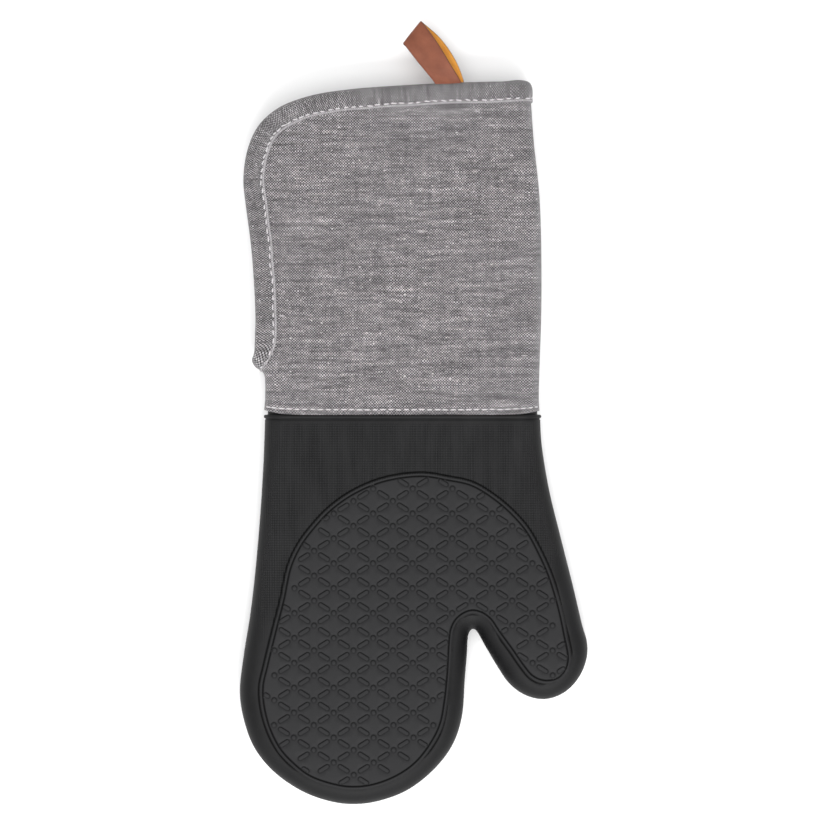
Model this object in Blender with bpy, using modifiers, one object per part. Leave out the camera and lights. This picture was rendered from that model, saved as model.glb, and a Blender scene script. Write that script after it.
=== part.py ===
# Oven mitt with a moulded silicone hand and a woven cotton cuff, lying on its
# back.  X runs across the hand towards the thumb, Y from the fingertips to the
# mouth of the cuff, Z up out of the palm.  Drawing sizes below are millimetres.
import math

import bpy
import bmesh
from mathutils import Matrix, Vector

MM = 0.001

# ---------------------------------------------------------------- sizes, mm
MID_Z = 13.054           # height of the plane between palm side and back side
EDGE_R = 11.0            # how far in from the silhouette the side starts to round
FLAT = 1.0               # half of the short straight part of the side wall
# Every layer is a surface parallel to the others, named by its distance from MID_Z.
SIL_OUT, SIL_IN = 12.0, 10.0        # silicone wall, 2 thick
BEAD_OUT = 12.55                    # rolled bead round the top of the silicone
FLANGE_OUT = 10.5                   # thin sewing flange inside the cuff hem
BAT_OUT, BAT_IN = 9.5, 7.2          # wadding in the hand
CBAT_OUT = 10.5                     # wadding in the cuff, 3.3 thick
LIN_OUT, LIN_IN = 6.9, 6.1          # cotton lining
FAB_OUT, FAB_IN = 11.6, 10.8        # cuff's outer fabric
BIND_OUT, BIND_OVER = 12.6, 11.9    # binding tape's outer leaf
BIND_IN, BIND_UNDER = 5.1, 5.8      # binding tape's inner leaf
PAD_RISE = 0.6                      # grip pads stand this proud of the silicone
BIND_W = 11.5                       # width of the finished binding
BIND_T = 0.9                        # thickness of the tape where it turns the edge
CUFF_LEN = 174.0                    # seam to mouth
MOUTH_K = 0.86                      # the cuff is this much thinner at the mouth
MOUTH_DROP = 1.15                   # and its middle lies this much lower
SEAM_Y = 0.0
HINGE_Z = 25.75                     # flex creases lie just over the palm surface
KNUCKLE_Y = -110.0                  # crease across the knuckles
THUMB_ROOT = (31.0, -110.0)         # where both creases meet, over the crotch
THUMB_ANGLE = math.radians(25.0)    # thumb root crease, measured from +X
CUT = 0.2                           # half of the gap at a crease
LOOP_LEATHER, LOOP_BACK = 1.0, 0.45 # hanging strap, leather and its backing
LOOP_BASE = (18.5, 173.9)           # middle of the strap at the mouth edge

# Pattern points of the silicone hand, anticlockwise from its top left corner,
# with spare length above the seam that is trimmed off.
HAND = [(-68, 60), (-78.2, 50), (-78.2, 25), (-78.2, 0), (-79, -25), (-80.5, -50), (-83, -80), (-86, -106),
        (-89.5, -128), (-91.5, -147), (-89.5, -161), (-84, -176), (-74, -188.5),
        (-59, -199), (-44, -204.5), (-32, -206), (-19, -204.5), (-3, -198.5),
        (12, -186.5), (21, -174), (25.5, -160), (27, -141), (28.2, -126),
        (28.8, -117), (30, -113.4), (31.8, -112.4), (33.6, -114.2), (38.3, -122.6),
        (44.5, -134), (50, -142), (58, -148.2), (68.5, -150.8), (79, -147.5),
        (87, -139.5), (91.2, -129.5), (91.5, -121), (89, -112), (84, -91),
        (77.7, -66), (72, -43), (69.2, -28), (67.3, -14), (66.7, 0), (66.7, 25),
        (66.7, 50), (56, 60)]
# Outline of the raised grip pad, the same on the palm and on the back.
PAD = [(4, -32), (18, -34), (31, -37), (44, -45), (54, -54), (60.5, -62),
       (67, -74), (72, -85.5), (77, -102), (80, -116), (82.2, -129), (80.5, -135.5),
       (76.5, -139.8), (71, -141.3), (66, -140.7), (61.4, -138.2), (57, -133),
       (51, -123.8), (44, -113.6), (39.7, -107.2), (35.7, -104.2), (31, -103),
       (27, -104.2), (23, -107.4), (20.5, -112.6), (19.8, -119), (18.8, -137),
       (17.3, -151), (15, -163), (10.5, -172.5), (2, -183.6), (-8, -190.8),
       (-21, -195.8), (-33, -197), (-44.5, -195), (-55, -191), (-63, -185),
       (-70.5, -177), (-76.2, -166), (-79.5, -153.5), (-80, -143), (-77.7, -132.5),
       (-73.2, -114), (-69, -97.5), (-65.3, -80.5), (-60, -69), (-53, -59.5),
       (-44, -50), (-32, -41.5), (-16, -34.8)]
# Outline of the cuff as a flat tube.  Its left side and its far end lie
# outside the mouth, so that the panels run flat to their bound edges there.
TUBE = [(66.7, -34), (66.7, 18), (67.2, 60), (66, 112), (62.5, 144), (60.4, 168),
        (59, 190), (52, 202), (-100, 202), (-112, 190), (-112, 60), (-106, 43),
        (-95, 30), (-84, 19), (-79, 9), (-78.2, 0), (-78.2, -34)]
# Edge of the mouth: along the far end from the right, round the top left corner
# and down the slit at the left to where the side seam starts.
MOUTH = [(150, 175), (100, 174.6), (57, 174.4), (25, 173.8), (-7, 172.2),
         (-35, 170), (-55, 166.6), (-71, 160.4), (-81.5, 151), (-87.2, 138.5),
         (-89.4, 123), (-88, 108), (-85.6, 90), (-83.8, 68), (-83, 50),
         (-83.8, 38), (-84.6, 29), (-83, 22), (-88, 17.5), (-110, 14), (-150, 12)]

# Left and right edges of the 15 wide hanging strap, up its near leg, over the
# creased fold and down its far leg; the third number is height over its seam.
LOOP_LEFT = [(11.2, 175.7, 1.5), (7.2, 178.9, 2.0), (3.0, 183.4, 2.6), (-1.2, 188.7, 2.8),
             (-4.4, 193.0, 1.7), (-5.2, 194.0, 0.2), (-4.4, 193.0, -1.3), (2.0, 188.4, -3.4),
             (6.4, 183.8, -4.0), (9.2, 179.6, -3.1), (11.4, 175.7, -1.5)]
LOOP_RIGHT = [(24.8, 176.0, 1.7), (20.3, 182.0, 5.0), (14.8, 190.6, 5.6), (9.6, 198.5, 4.4),
              (4.9, 204.9, 2.3), (4.2, 205.6, 0.8), (5.3, 204.9, -0.7), (12.8, 198.6, -2.8),
              (18.1, 191.9, -3.4), (22.9, 183.7, -2.8), (25.8, 176.0, -1.5)]

# ---------------------------------------------------------------- start clean
for o in list(bpy.data.objects):
    bpy.data.objects.remove(o, do_unlink=True)
PARTS = bpy.data.collections.new("oven_mitt")
bpy.context.scene.collection.children.link(PARTS)


# ---------------------------------------------------------------- materials
def material(name, colour, rough, metal=0.0):
    m = bpy.data.materials.new(name)
    m.use_nodes = True
    b = m.node_tree.nodes["Principled BSDF"]
    b.inputs["Base Color"].default_value = (*colour, 1.0)
    b.inputs["Roughness"].default_value = rough
    b.inputs["Metallic"].default_value = metal
    m.diffuse_color = (*colour, 1.0)
    return m


SILICONE = material("black_silicone", (0.035, 0.035, 0.037), 0.55)
CHAMBRAY = material("grey_chambray", (0.30, 0.285, 0.30), 0.95)
TAPE = material("grey_binding", (0.26, 0.245, 0.26), 0.95)
WADDING = material("white_wadding", (0.85, 0.84, 0.80), 1.0)
LINING = material("dark_lining", (0.075, 0.073, 0.076), 0.95)
THREAD = material("light_thread", (0.78, 0.76, 0.78), 0.8)
LEATHER = material("brown_leather", (0.30, 0.105, 0.058), 0.5)
BACKING = material("amber_backing", (0.72, 0.36, 0.045), 0.7)


# ---------------------------------------------------------------- outlines
def smooth_line(points, closed, step):
    """Centripetal Catmull-Rom curve through the points, resampled about every step."""
    n = len(points)
    pts = [Vector(p) for p in points]
    out = []
    for i in range(n if closed else n - 1):
        p1, p2 = pts[i], pts[(i + 1) % n]
        p0 = pts[i - 1] if closed or i else p1 * 2 - p2
        p3 = pts[(i + 2) % n] if closed or i + 2 < n else p2 * 2 - p1
        t0 = 0.0
        t1 = t0 + (p1 - p0).length ** 0.5
        t2 = t1 + (p2 - p1).length ** 0.5
        t3 = t2 + (p3 - p2).length ** 0.5
        cuts = max(1, round((p2 - p1).length / step))
        for k in range(cuts):
            t = t1 + (t2 - t1) * k / cuts
            a1 = p0 * ((t1 - t) / (t1 - t0)) + p1 * ((t - t0) / (t1 - t0))
            a2 = p1 * ((t2 - t) / (t2 - t1)) + p2 * ((t - t1) / (t2 - t1))
            a3 = p2 * ((t3 - t) / (t3 - t2)) + p3 * ((t - t2) / (t3 - t2))
            b1 = a1 * ((t2 - t) / (t2 - t0)) + a2 * ((t - t0) / (t2 - t0))
            b2 = a2 * ((t3 - t) / (t3 - t1)) + a3 * ((t - t1) / (t3 - t1))
            out.append(b1 * ((t2 - t) / (t2 - t1)) + b2 * ((t - t1) / (t2 - t1)))
    if not closed:
        out.append(pts[-1])
    return out


def grow(line, d, closed=True):
    """Moves an anticlockwise outline outwards by d, mitred."""
    n, out = len(line), []
    for i, p in enumerate(line):
        q0 = line[i - 1] if closed or i else p * 2 - line[1]
        q1 = line[(i + 1) % n] if closed or i + 1 < n else p * 2 - line[i - 1]
        e0, e1 = (p - q0).normalized(), (q1 - p).normalized()
        n0, n1 = Vector((e0.y, -e0.x)), Vector((e1.y, -e1.x))
        m = (n0 + n1).normalized()
        out.append(p + m * (d / max(0.5, m.dot(n0))))
    return out


HAND_LINE = grow(smooth_line(HAND, True, 7.0), -EDGE_R)
INNER_LINE = grow(smooth_line(HAND, True, 13.0), -EDGE_R)     # for the soft layers
TUBE_LINE = grow(smooth_line(TUBE, True, 13.0), -EDGE_R)
MOUTH_LINE = smooth_line(MOUTH, False, 8.0)


# ---------------------------------------------------------------- solids
def keep(obj, mat=None):
    PARTS.objects.link(obj)
    if mat:
        obj.data.materials.clear()
        obj.data.materials.append(mat)
    return obj


def mesh_from_curve(name, line, half_height, bevel, resolution=2, z=MID_Z):
    """A flat outline with its full height and, with a bevel, round sides, as a mesh."""
    cu = bpy.data.curves.new(name + "_line", "CURVE")
    cu.dimensions = "2D"
    cu.fill_mode = "BOTH"
    cu.extrude = half_height * MM
    cu.bevel_depth = bevel * MM
    cu.bevel_resolution = resolution
    sp = cu.splines.new("POLY")
    sp.points.add(len(line) - 1)
    for k, p in enumerate(line):
        sp.points[k].co = (p[0] * MM, p[1] * MM, 0, 1)
    sp.use_cyclic_u = True
    ob = bpy.data.objects.new(name + "_line", cu)
    PARTS.objects.link(ob)
    ob.location.z = z * MM
    bpy.context.view_layer.update()
    graph = bpy.context.evaluated_depsgraph_get()
    me = bpy.data.meshes.new_from_object(ob.evaluated_get(graph))
    me.transform(ob.matrix_world)
    bpy.data.objects.remove(ob)
    bm = bmesh.new()
    bm.from_mesh(me)
    bmesh.ops.remove_doubles(bm, verts=bm.verts, dist=0.00001)
    bmesh.ops.recalc_face_normals(bm, faces=bm.faces)
    bm.to_mesh(me)
    bm.free()
    me.name = name
    return bpy.data.objects.new(name, me)


def layer(name, line, half, resolution=2):
    """The solid inside the parallel surface at that distance from the middle."""
    return mesh_from_curve(name, line, FLAT, half - FLAT, resolution)


def prism(name, line, z0=-20.0, z1=50.0):
    return mesh_from_curve(name, line, (z1 - z0) / 2, 0.0, z=(z0 + z1) / 2)


def block(name, lo, hi):
    me = bpy.data.meshes.new(name)
    bm = bmesh.new()
    bmesh.ops.create_cube(bm, size=1.0)
    size = [(b - a) * MM for a, b in zip(lo, hi)]
    mid = [(b + a) * MM / 2 for a, b in zip(lo, hi)]
    bmesh.ops.scale(bm, vec=size, verts=bm.verts)
    bmesh.ops.translate(bm, vec=mid, verts=bm.verts)
    bm.to_mesh(me)
    bm.free()
    return bpy.data.objects.new(name, me)


def combine(a, b, how, keep_b=False):
    """a DIFFERENCE, INTERSECT or UNION b, applied to a's mesh."""
    for o in (a, b):
        if o.name not in PARTS.objects:
            PARTS.objects.link(o)
    mod = a.modifiers.new(how.lower(), "BOOLEAN")
    mod.operation, mod.object, mod.solver = how, b, "EXACT"
    bpy.context.view_layer.update()
    graph = bpy.context.evaluated_depsgraph_get()
    me = bpy.data.meshes.new_from_object(a.evaluated_get(graph))
    a.modifiers.clear()
    a.data = me
    PARTS.objects.unlink(a)
    PARTS.objects.unlink(b)
    if not keep_b:
        bpy.data.objects.remove(b)
    return a


def copy(o, name):
    return bpy.data.objects.new(name, o.data.copy())


def shell(name, line, outer, inner, resolution=2):
    return combine(layer(name, line, outer, resolution),
                   layer(name + "_i", line, inner, resolution), "DIFFERENCE")


FAR = 400.0


def below_y(o, y):
    return combine(o, block("cut", (-FAR, y, -FAR), (FAR, FAR, FAR)), "DIFFERENCE")


def above_y(o, y):
    return combine(o, block("cut", (-FAR, -FAR, -FAR), (FAR, y, FAR)), "DIFFERENCE")


def half(o, name, front, gap=0.15):
    lo, hi = ((MID_Z + gap, FAR) if front else (-FAR, MID_Z - gap))
    return combine(copy(o, name), block("half", (-FAR, -FAR, lo), (FAR, FAR, hi)), "INTERSECT")


# ---------------------------------------------------------------- body regions
along = Vector((math.cos(THUMB_ANGLE), math.sin(THUMB_ANGLE)))
across = Vector((-along.y, along.x))
root = Vector(THUMB_ROOT)
HAND_REGION = [Vector((-140, KNUCKLE_Y + CUT)), root + Vector((0, CUT)),
               root + along * 110 + across * CUT, Vector((150, 80)), Vector((-140, 80))]
FINGER_REGION = [Vector((-140, -240)), Vector((root.x - 0.2, -240)),
                 Vector((root.x - 0.2, KNUCKLE_Y - CUT)), Vector((-140, KNUCKLE_Y - CUT))]
THUMB_REGION = [Vector((root.x + 0.6, -240)), Vector((150, -240)),
                root + along * 110 - across * CUT, root + along * 0.7 - across * CUT]


def split(o, base, mat, suffix=""):
    for part, region in (("hand", HAND_REGION), ("fingers", FINGER_REGION), ("thumb", THUMB_REGION)):
        piece = combine(copy(o, f"{base}_{part}{suffix}"), prism("region", region), "INTERSECT")
        keep(piece, mat)


# ---------------------------------------------------------------- silicone hand
outer = below_y(layer("silicone", HAND_LINE, SIL_OUT), SEAM_Y + 0.2)
flange = below_y(layer("flange", HAND_LINE, FLANGE_OUT), SEAM_Y + 4.2)
# the flange is shorter on the back, where the cuff swings in towards it
tilt = block("tilt", (-FAR, 0, -60), (FAR, 60, 60))
tilt.data.transform(Matrix.Translation((0, (SEAM_Y + 1.9) * MM, (MID_Z - 11) * MM))
                    @ Matrix.Rotation(math.radians(-6.0), 4, "X"))
flange = combine(flange, tilt, "DIFFERENCE")
outer = combine(outer, flange, "UNION")
bead = below_y(above_y(layer("bead", HAND_LINE, BEAD_OUT), SEAM_Y - 2.4), SEAM_Y - 0.1)
outer = combine(outer, bead, "UNION")
pad_line = smooth_line(PAD, True, 9.0)[::-1]
pads = prism("pads", pad_line, MID_Z - SIL_OUT - PAD_RISE, MID_Z + SIL_OUT + PAD_RISE)
outer = combine(outer, pads, "UNION")
silicone = combine(outer, layer("hollow", HAND_LINE, SIL_IN), "DIFFERENCE")
split(silicone, "silicone", SILICONE)

# wadding and lining of the hand, each a palm panel and a back panel
for base, mat, o_half, i_half, top in (("wadding", WADDING, BAT_OUT, BAT_IN, SEAM_Y + 1.6),
                                       ("lining", LINING, LIN_OUT, LIN_IN, SEAM_Y + 1.6)):
    tube = below_y(shell(base, INNER_LINE, o_half, i_half, 1), top)
    split(half(tube, base + "_f", True), base, mat, "_front")
    split(half(tube, base + "_b", False), base, mat, "_back")


# ---------------------------------------------------------------- cuff
def mouth_region(inset):
    line = grow(MOUTH_LINE, -inset, closed=False)
    return prism("mouth", [Vector((150, -60))] + line + [Vector((-150, -60))])


def settle(o):
    """The cuff thins towards its mouth and its back stays on the table."""
    for v in o.data.vertices:
        t = v.co.y / (CUFF_LEN * MM)
        v.co.z = (MID_Z - MOUTH_DROP * t) * MM + (v.co.z - MID_Z * MM) * (1 - (1 - MOUTH_K) * t)
    return o


def cuff_panels(base, mat, o_half, i_half, start, inset):
    tube = above_y(shell(base, TUBE_LINE, o_half, i_half), start)
    tube = combine(tube, mouth_region(inset), "INTERSECT")
    for side, front in (("front", True), ("back", False)):
        keep(settle(half(tube, f"{base}_{side}", front)), mat)


cuff_panels("cuff_fabric", CHAMBRAY, FAB_OUT, FAB_IN, SEAM_Y + 0.6, 1.2)
cuff_panels("cuff_wadding", WADDING, CBAT_OUT, BAT_IN, SEAM_Y + 6.6, 6.0)
cuff_panels("cuff_lining", LINING, LIN_OUT, LIN_IN, SEAM_Y + 2.0, 1.2)

# one tape folded over the whole edge of the mouth, round the seam and the slit
binding = shell("edge_binding", TUBE_LINE, BIND_OUT, BIND_IN)
binding = above_y(binding, SEAM_Y + 6.0)
band = combine(mouth_region(0.0), mouth_region(BIND_W), "DIFFERENCE")
binding = combine(binding, band, "INTERSECT")
room = combine(shell("room", TUBE_LINE, BIND_OVER, BIND_UNDER), mouth_region(BIND_T), "INTERSECT")
binding = combine(binding, room, "DIFFERENCE")
settle(binding)
binding.name = "edge_binding"


# ---------------------------------------------------------------- hanging loop
loop_z = MID_Z - MOUTH_DROP + (CBAT_OUT + BAT_IN) / 2 * MOUTH_K
EDGE_Y = LOOP_BASE[1]


def rail(points, cuts=3):
    """One edge of the strap through its fitting points, cut evenly between them."""
    pts = [Vector(p) + Vector((0, 0, loop_z)) for p in points]
    out = []
    for i in range(len(pts) - 1):
        p1, p2 = pts[i], pts[i + 1]
        p0 = pts[i - 1] if i else p1 * 2 - p2
        p3 = pts[i + 2] if i + 2 < len(pts) else p2 * 2 - p1
        for k in range(cuts):
            t = k / cuts
            out.append(p1 + (p2 - p0) * (t / 2) + (p0 * 2 - p1 * 5 + p2 * 4 - p3) * (t * t / 2)
                       + (p3 - p0 + (p1 - p2) * 3) * (t ** 3 / 2))
    out.append(pts[-1])
    return out


def ribbon(name, depth, thick, mat, wide=3):
    """The strap's surface, set in by depth on the inside of the loop, thickened by Solidify."""
    left, right = rail(LOOP_LEFT), rail(LOOP_RIGHT)
    rows = [[l.lerp(r, j / wide) for j in range(wide + 1)] for l, r in zip(left, right)]
    bm = bmesh.new()
    grid = []
    for i, row in enumerate(rows):
        nxt, prv = rows[min(i + 1, len(rows) - 1)], rows[max(i - 1, 0)]
        made = []
        for j, p in enumerate(row):
            inward = (nxt[j] - prv[j]).cross(row[-1] - row[0]).normalized()
            made.append(bm.verts.new((p + inward * depth) * MM))
        grid.append(made)
    for a, b in zip(grid, grid[1:]):
        for j in range(wide):
            bm.faces.new((a[j], a[j + 1], b[j + 1], b[j]))
    me = bpy.data.meshes.new(name)
    bm.to_mesh(me)
    bm.free()
    ob = bpy.data.objects.new(name, me)
    sol = ob.modifiers.new("thickness", "SOLIDIFY")
    sol.thickness = thick * MM
    sol.offset = 0.0
    return keep(ob, mat)


ribbon("loop_leather", 0.0, LOOP_LEATHER, LEATHER)
ribbon("loop_backing", LOOP_LEATHER / 2 + 0.3 + LOOP_BACK / 2, LOOP_BACK, BACKING)

# the strap's two ends, caught between the fabric and the lining in the binding
slot_lo = (LOOP_BASE[0] - 10.4, EDGE_Y - 3.0, loop_z - 1.25)
slot_hi = (LOOP_BASE[0] + 10.4, EDGE_Y + 3.0, loop_z + 1.25)
binding = combine(binding, block("slot", slot_lo, slot_hi), "DIFFERENCE")
keep(binding, TAPE)
ends = block("loop_sewn_ends", (LOOP_BASE[0] - 9.6, EDGE_Y - 4.6, loop_z - 0.9),
             (LOOP_BASE[0] + 9.6, EDGE_Y + 0.15, loop_z + 0.9))
keep(ends, LEATHER)


# ---------------------------------------------------------------- stitching
def cuff_z(y, half_z):
    t = y / CUFF_LEN
    return MID_Z - MOUTH_DROP * t + half_z * (1 - (1 - MOUTH_K) * t)


def thread(name, points, radius=0.22):
    """One sewing thread lying along a seam, as a thin square-section curve."""
    cu = bpy.data.curves.new(name + "_line", "CURVE")
    cu.dimensions = "3D"
    cu.bevel_depth = radius * MM
    cu.bevel_resolution = 0
    cu.use_fill_caps = True
    sp = cu.splines.new("POLY")
    sp.points.add(len(points) - 1)
    for k, p in enumerate(points):
        sp.points[k].co = (p[0] * MM, p[1] * MM, p[2] * MM, 1)
    ob = bpy.data.objects.new(name + "_line", cu)
    PARTS.objects.link(ob)
    bpy.context.view_layer.update()
    me = bpy.data.meshes.new_from_object(ob.evaluated_get(bpy.context.evaluated_depsgraph_get()))
    bpy.data.objects.remove(ob)
    bm = bmesh.new()
    bm.from_mesh(me)
    bmesh.ops.remove_doubles(bm, verts=bm.verts, dist=0.00001)
    bmesh.ops.recalc_face_normals(bm, faces=bm.faces)
    bm.to_mesh(me)
    bm.free()
    return keep(bpy.data.objects.new(name, me), THREAD)


edge_row = [p for p in grow(MOUTH_LINE, -(BIND_W - 2.0), closed=False) if p.x < 48 and p.y > 40]
hem_row = [Vector((55 - 15 * k, SEAM_Y + 4.6)) for k in range(9)]
for side, sign in (("front", 1), ("back", -1)):
    thread(f"binding_thread_{side}", [(p.x, p.y, cuff_z(p.y, sign * (BIND_OUT + 0.4))) for p in edge_row])
    thread(f"hem_thread_{side}", [(p.x, p.y, cuff_z(p.y, sign * (FAB_OUT + 0.4))) for p in hem_row])
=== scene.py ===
import math
import random

import bpy
import bmesh
import numpy as np
from mathutils import Vector, Matrix, geometry, kdtree


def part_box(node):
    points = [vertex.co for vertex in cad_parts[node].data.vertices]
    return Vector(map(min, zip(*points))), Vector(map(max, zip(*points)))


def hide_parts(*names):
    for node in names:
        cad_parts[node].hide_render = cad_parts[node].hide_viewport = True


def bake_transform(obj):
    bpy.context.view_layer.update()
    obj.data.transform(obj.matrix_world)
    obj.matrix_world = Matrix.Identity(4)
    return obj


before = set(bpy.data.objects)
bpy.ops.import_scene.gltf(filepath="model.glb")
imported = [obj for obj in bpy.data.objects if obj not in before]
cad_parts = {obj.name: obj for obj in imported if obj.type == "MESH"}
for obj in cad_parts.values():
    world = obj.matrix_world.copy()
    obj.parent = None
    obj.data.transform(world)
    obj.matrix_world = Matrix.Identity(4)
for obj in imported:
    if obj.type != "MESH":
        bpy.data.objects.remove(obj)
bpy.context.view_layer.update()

MM = 0.001
rng = random.Random(7)

# ------------------------------------------------------------------ sizes, mm
lo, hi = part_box("silicone_hand")
MID = (lo[2] + hi[2]) / 2 / MM          # middle height of the mitt
EDGE_R = 11.0
FAB, CBAT_O, CBAT_I, BAT_O, BAT_I, LIN_O, LIN_I = 11.6, 10.5, 7.2, 9.5, 7.2, 6.9, 6.1
CUFF_LEN, MOUTH_K, MOUTH_DROP = 174.0, 0.86, 1.15
HAND = [(-68, 60), (-78.2, 50), (-78.2, 25), (-78.2, 0), (-79, -25), (-80.5, -50),
        (-83, -80), (-86, -106),
        (-89.5, -128), (-91.5, -147), (-89.5, -161), (-84, -176), (-74, -188.5),
        (-59, -199), (-44, -204.5), (-32, -206), (-19, -204.5), (-3, -198.5),
        (12, -186.5), (21, -174), (25.5, -160), (27, -141), (28.2, -126),
        (28.7, -118.4), (29.9, -114.9), (31.7, -113.8), (33.6, -115.6), (38.3, -123.6),
        (44.5, -134), (50, -142), (58, -148.2), (68.5, -150.8), (79, -147.5),
        (87, -139.5), (91.2, -129.5), (91.5, -121), (89, -112), (84, -91),
        (77.7, -66), (72, -43), (69.2, -28), (67.3, -14), (66.7, 0), (66.7, 25),
        (66.7, 50), (56, 60)]
PAD = [(4, -32), (18, -34), (31, -37), (44, -45), (54, -54), (60.5, -62),
       (67, -74), (72, -85.5), (77, -102), (80, -116), (82.2, -129), (80.5, -135.5),
       (76.5, -139.8), (71, -141.3), (66, -140.7), (61.4, -138.2), (57, -133),
       (51, -124.4), (44, -114.8), (39.7, -108.6), (35.7, -105.6), (31, -104.4),
       (27, -105.6), (23, -108.8), (20.6, -113.6), (19.8, -119.6), (18.8, -137),
       (17.3, -151), (15, -163), (10.5, -172.5), (2, -183.6), (-8, -190.8),
       (-21, -195.8), (-33, -197), (-44.5, -195), (-55, -191), (-63, -185),
       (-70.5, -177), (-76.2, -166), (-79.5, -153.5), (-80, -143), (-77.7, -132.5),
       (-73.2, -114), (-69, -97.5), (-65.3, -80.5), (-60, -69), (-53, -59.5),
       (-44, -50), (-32, -41.5), (-16, -34.8)]
TUBE = [(66.7, -34), (66.7, 18), (67.2, 60), (66, 112), (62.5, 144), (60.4, 168),
        (59, 190), (52, 202), (-100, 202), (-112, 190), (-112, 60), (-106, 43),
        (-95, 30), (-84, 19), (-79, 9), (-78.2, 0), (-78.2, -34)]
MOUTH = [(150, 175), (100, 174.6), (57, 174.4), (25, 173.8), (-7, 172.2),
         (-35, 170), (-55, 166.6), (-71, 160.4), (-81.5, 151), (-87.2, 138.5),
         (-89.4, 123), (-88, 108), (-85.6, 90), (-83.8, 68), (-83, 50),
         (-83.1, 43), (-82.8, 37), (-82.5, 32), (-83.5, 29.3)]


# ------------------------------------------------------------------ 2D helpers
def spline(points, closed, step):
    """Centripetal Catmull-Rom through the points, resampled evenly about every step."""
    pts = [Vector(p) for p in points]
    n = len(pts)
    out = []
    for i in range(n if closed else n - 1):
        p1, p2 = pts[i], pts[(i + 1) % n]
        p0 = pts[i - 1] if closed or i else p1 * 2 - p2
        p3 = pts[(i + 2) % n] if closed or i + 2 < n else p2 * 2 - p1
        t1 = (p1 - p0).length ** 0.5
        t2 = t1 + (p2 - p1).length ** 0.5
        t3 = t2 + (p3 - p2).length ** 0.5
        cuts = max(2, int((p2 - p1).length / min(step, 1.0)))
        for k in range(cuts):
            t = t1 + (t2 - t1) * k / cuts
            a1 = p0 * ((t1 - t) / t1) + p1 * (t / t1)
            a2 = p1 * ((t2 - t) / (t2 - t1)) + p2 * ((t - t1) / (t2 - t1))
            a3 = p2 * ((t3 - t) / (t3 - t2)) + p3 * ((t - t2) / (t3 - t2))
            b1 = a1 * ((t2 - t) / t2) + a2 * (t / t2)
            b2 = a2 * ((t3 - t) / (t3 - t1)) + a3 * ((t - t1) / (t3 - t1))
            out.append(b1 * ((t2 - t) / (t2 - t1)) + b2 * ((t - t1) / (t2 - t1)))
    if not closed:
        out.append(pts[-1])
    return resample(np.array([tuple(p) for p in out]), closed, step)


def resample(a, closed, step):
    if closed:
        a = np.vstack([a, a[:1]])
    seg = np.linalg.norm(np.diff(a, axis=0), axis=1)
    s = np.concatenate([[0], np.cumsum(seg)])
    n = max(2, int(round(s[-1] / step)))
    t = np.linspace(0, s[-1], n + 1)
    out = np.stack([np.interp(t, s, a[:, k]) for k in range(a.shape[1])], axis=1)
    return out[:-1] if closed else out


def normals2(a, closed):
    """Outward normals of an anticlockwise line."""
    if closed:
        d = np.roll(a, -1, 0) - np.roll(a, 1, 0)
    else:
        d = np.gradient(a, axis=0)
    d /= np.linalg.norm(d, axis=1)[:, None]
    return np.stack([d[:, 1], -d[:, 0]], axis=1)


def offset(a, d, closed):
    return a + normals2(a, closed) * d


class Near:
    """Signed distance to a dense line: positive on its outer side."""

    def __init__(self, line, closed):
        self.p = line
        self.n = normals2(line, closed)
        self.t = kdtree.KDTree(len(line))
        for i, q in enumerate(line):
            self.t.insert((q[0], q[1], 0), i)
        self.t.balance()

    def __call__(self, x, y):
        _, i, _ = self.t.find((x, y, 0))
        dx, dy = x - self.p[i][0], y - self.p[i][1]
        s = dx * self.n[i][0] + dy * self.n[i][1]
        d = math.hypot(dx, dy)
        return d if s >= 0 else -d


def inside(poly, pts):
    """Which points are inside a polygon."""
    x, y = pts[:, 0], pts[:, 1]
    res = np.zeros(len(pts), bool)
    px, py = poly[:, 0], poly[:, 1]
    qx, qy = np.roll(px, -1), np.roll(py, -1)
    for a, b, c, d in zip(px, py, qx, qy):
        hit = ((b > y) != (d > y)) & (x < (c - a) * (y - b) / (d - b + 1e-12) + a)
        res ^= hit
    return res


def smoothstep(a, b, x):
    t = np.clip((x - a) / (b - a), 0, 1)
    return t * t * (3 - 2 * t)


def und(x, y):
    """Slow rise and fall of the stuffed palm, the same for all its layers."""
    return (0.30 * np.sin(x / 23.0 + 0.8) * np.sin(y / 31.0 + 0.4)
            + 0.16 * np.sin(x / 11.0 - y / 17.0 + 2.0) + 0.10 * np.sin(x / 7.3 + y / 9.1))


# ------------------------------------------------------------------ mesh helper
def make(name, verts, faces, mat, uv=None, attrs=None, smooth=True):
    me = bpy.data.meshes.new(name)
    v = np.asarray(verts, float)
    me.from_pydata([tuple(p) for p in (v * MM).tolist()], [], [tuple(f) for f in faces])
    me.validate(clean_customdata=False)
    if uv is not None:
        lay = me.uv_layers.new(name="cloth")
        vi = np.empty(len(me.loops), np.int32)
        me.loops.foreach_get("vertex_index", vi)
        lay.data.foreach_set("uv", np.asarray(uv, np.float32)[vi].ravel())
    for k, vals in (attrs or {}).items():
        at = me.attributes.new(k, "FLOAT", "POINT")
        at.data.foreach_set("value", np.asarray(vals, np.float32))
    if smooth:
        me.polygons.foreach_set("use_smooth", [True] * len(me.polygons))
    me.update()
    ob = bpy.data.objects.new(name, me)
    bpy.context.scene.collection.objects.link(ob)
    if mat:
        me.materials.append(mat)
    return ob


def outward(ob):
    bm = bmesh.new()
    bm.from_mesh(ob.data)
    bmesh.ops.recalc_face_normals(bm, faces=bm.faces)
    bm.to_mesh(ob.data)
    bm.free()
    return ob


# ------------------------------------------------------------------ the hand's shape
sil = spline(HAND, True, 0.5)
core = offset(sil, -EDGE_R, True)                       # where the sides begin to round
core = resample(core, True, 0.4)
for _ in range(3):
    core = (np.roll(core, 1, 0) + core * 2 + np.roll(core, -1, 0)) / 4


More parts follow.
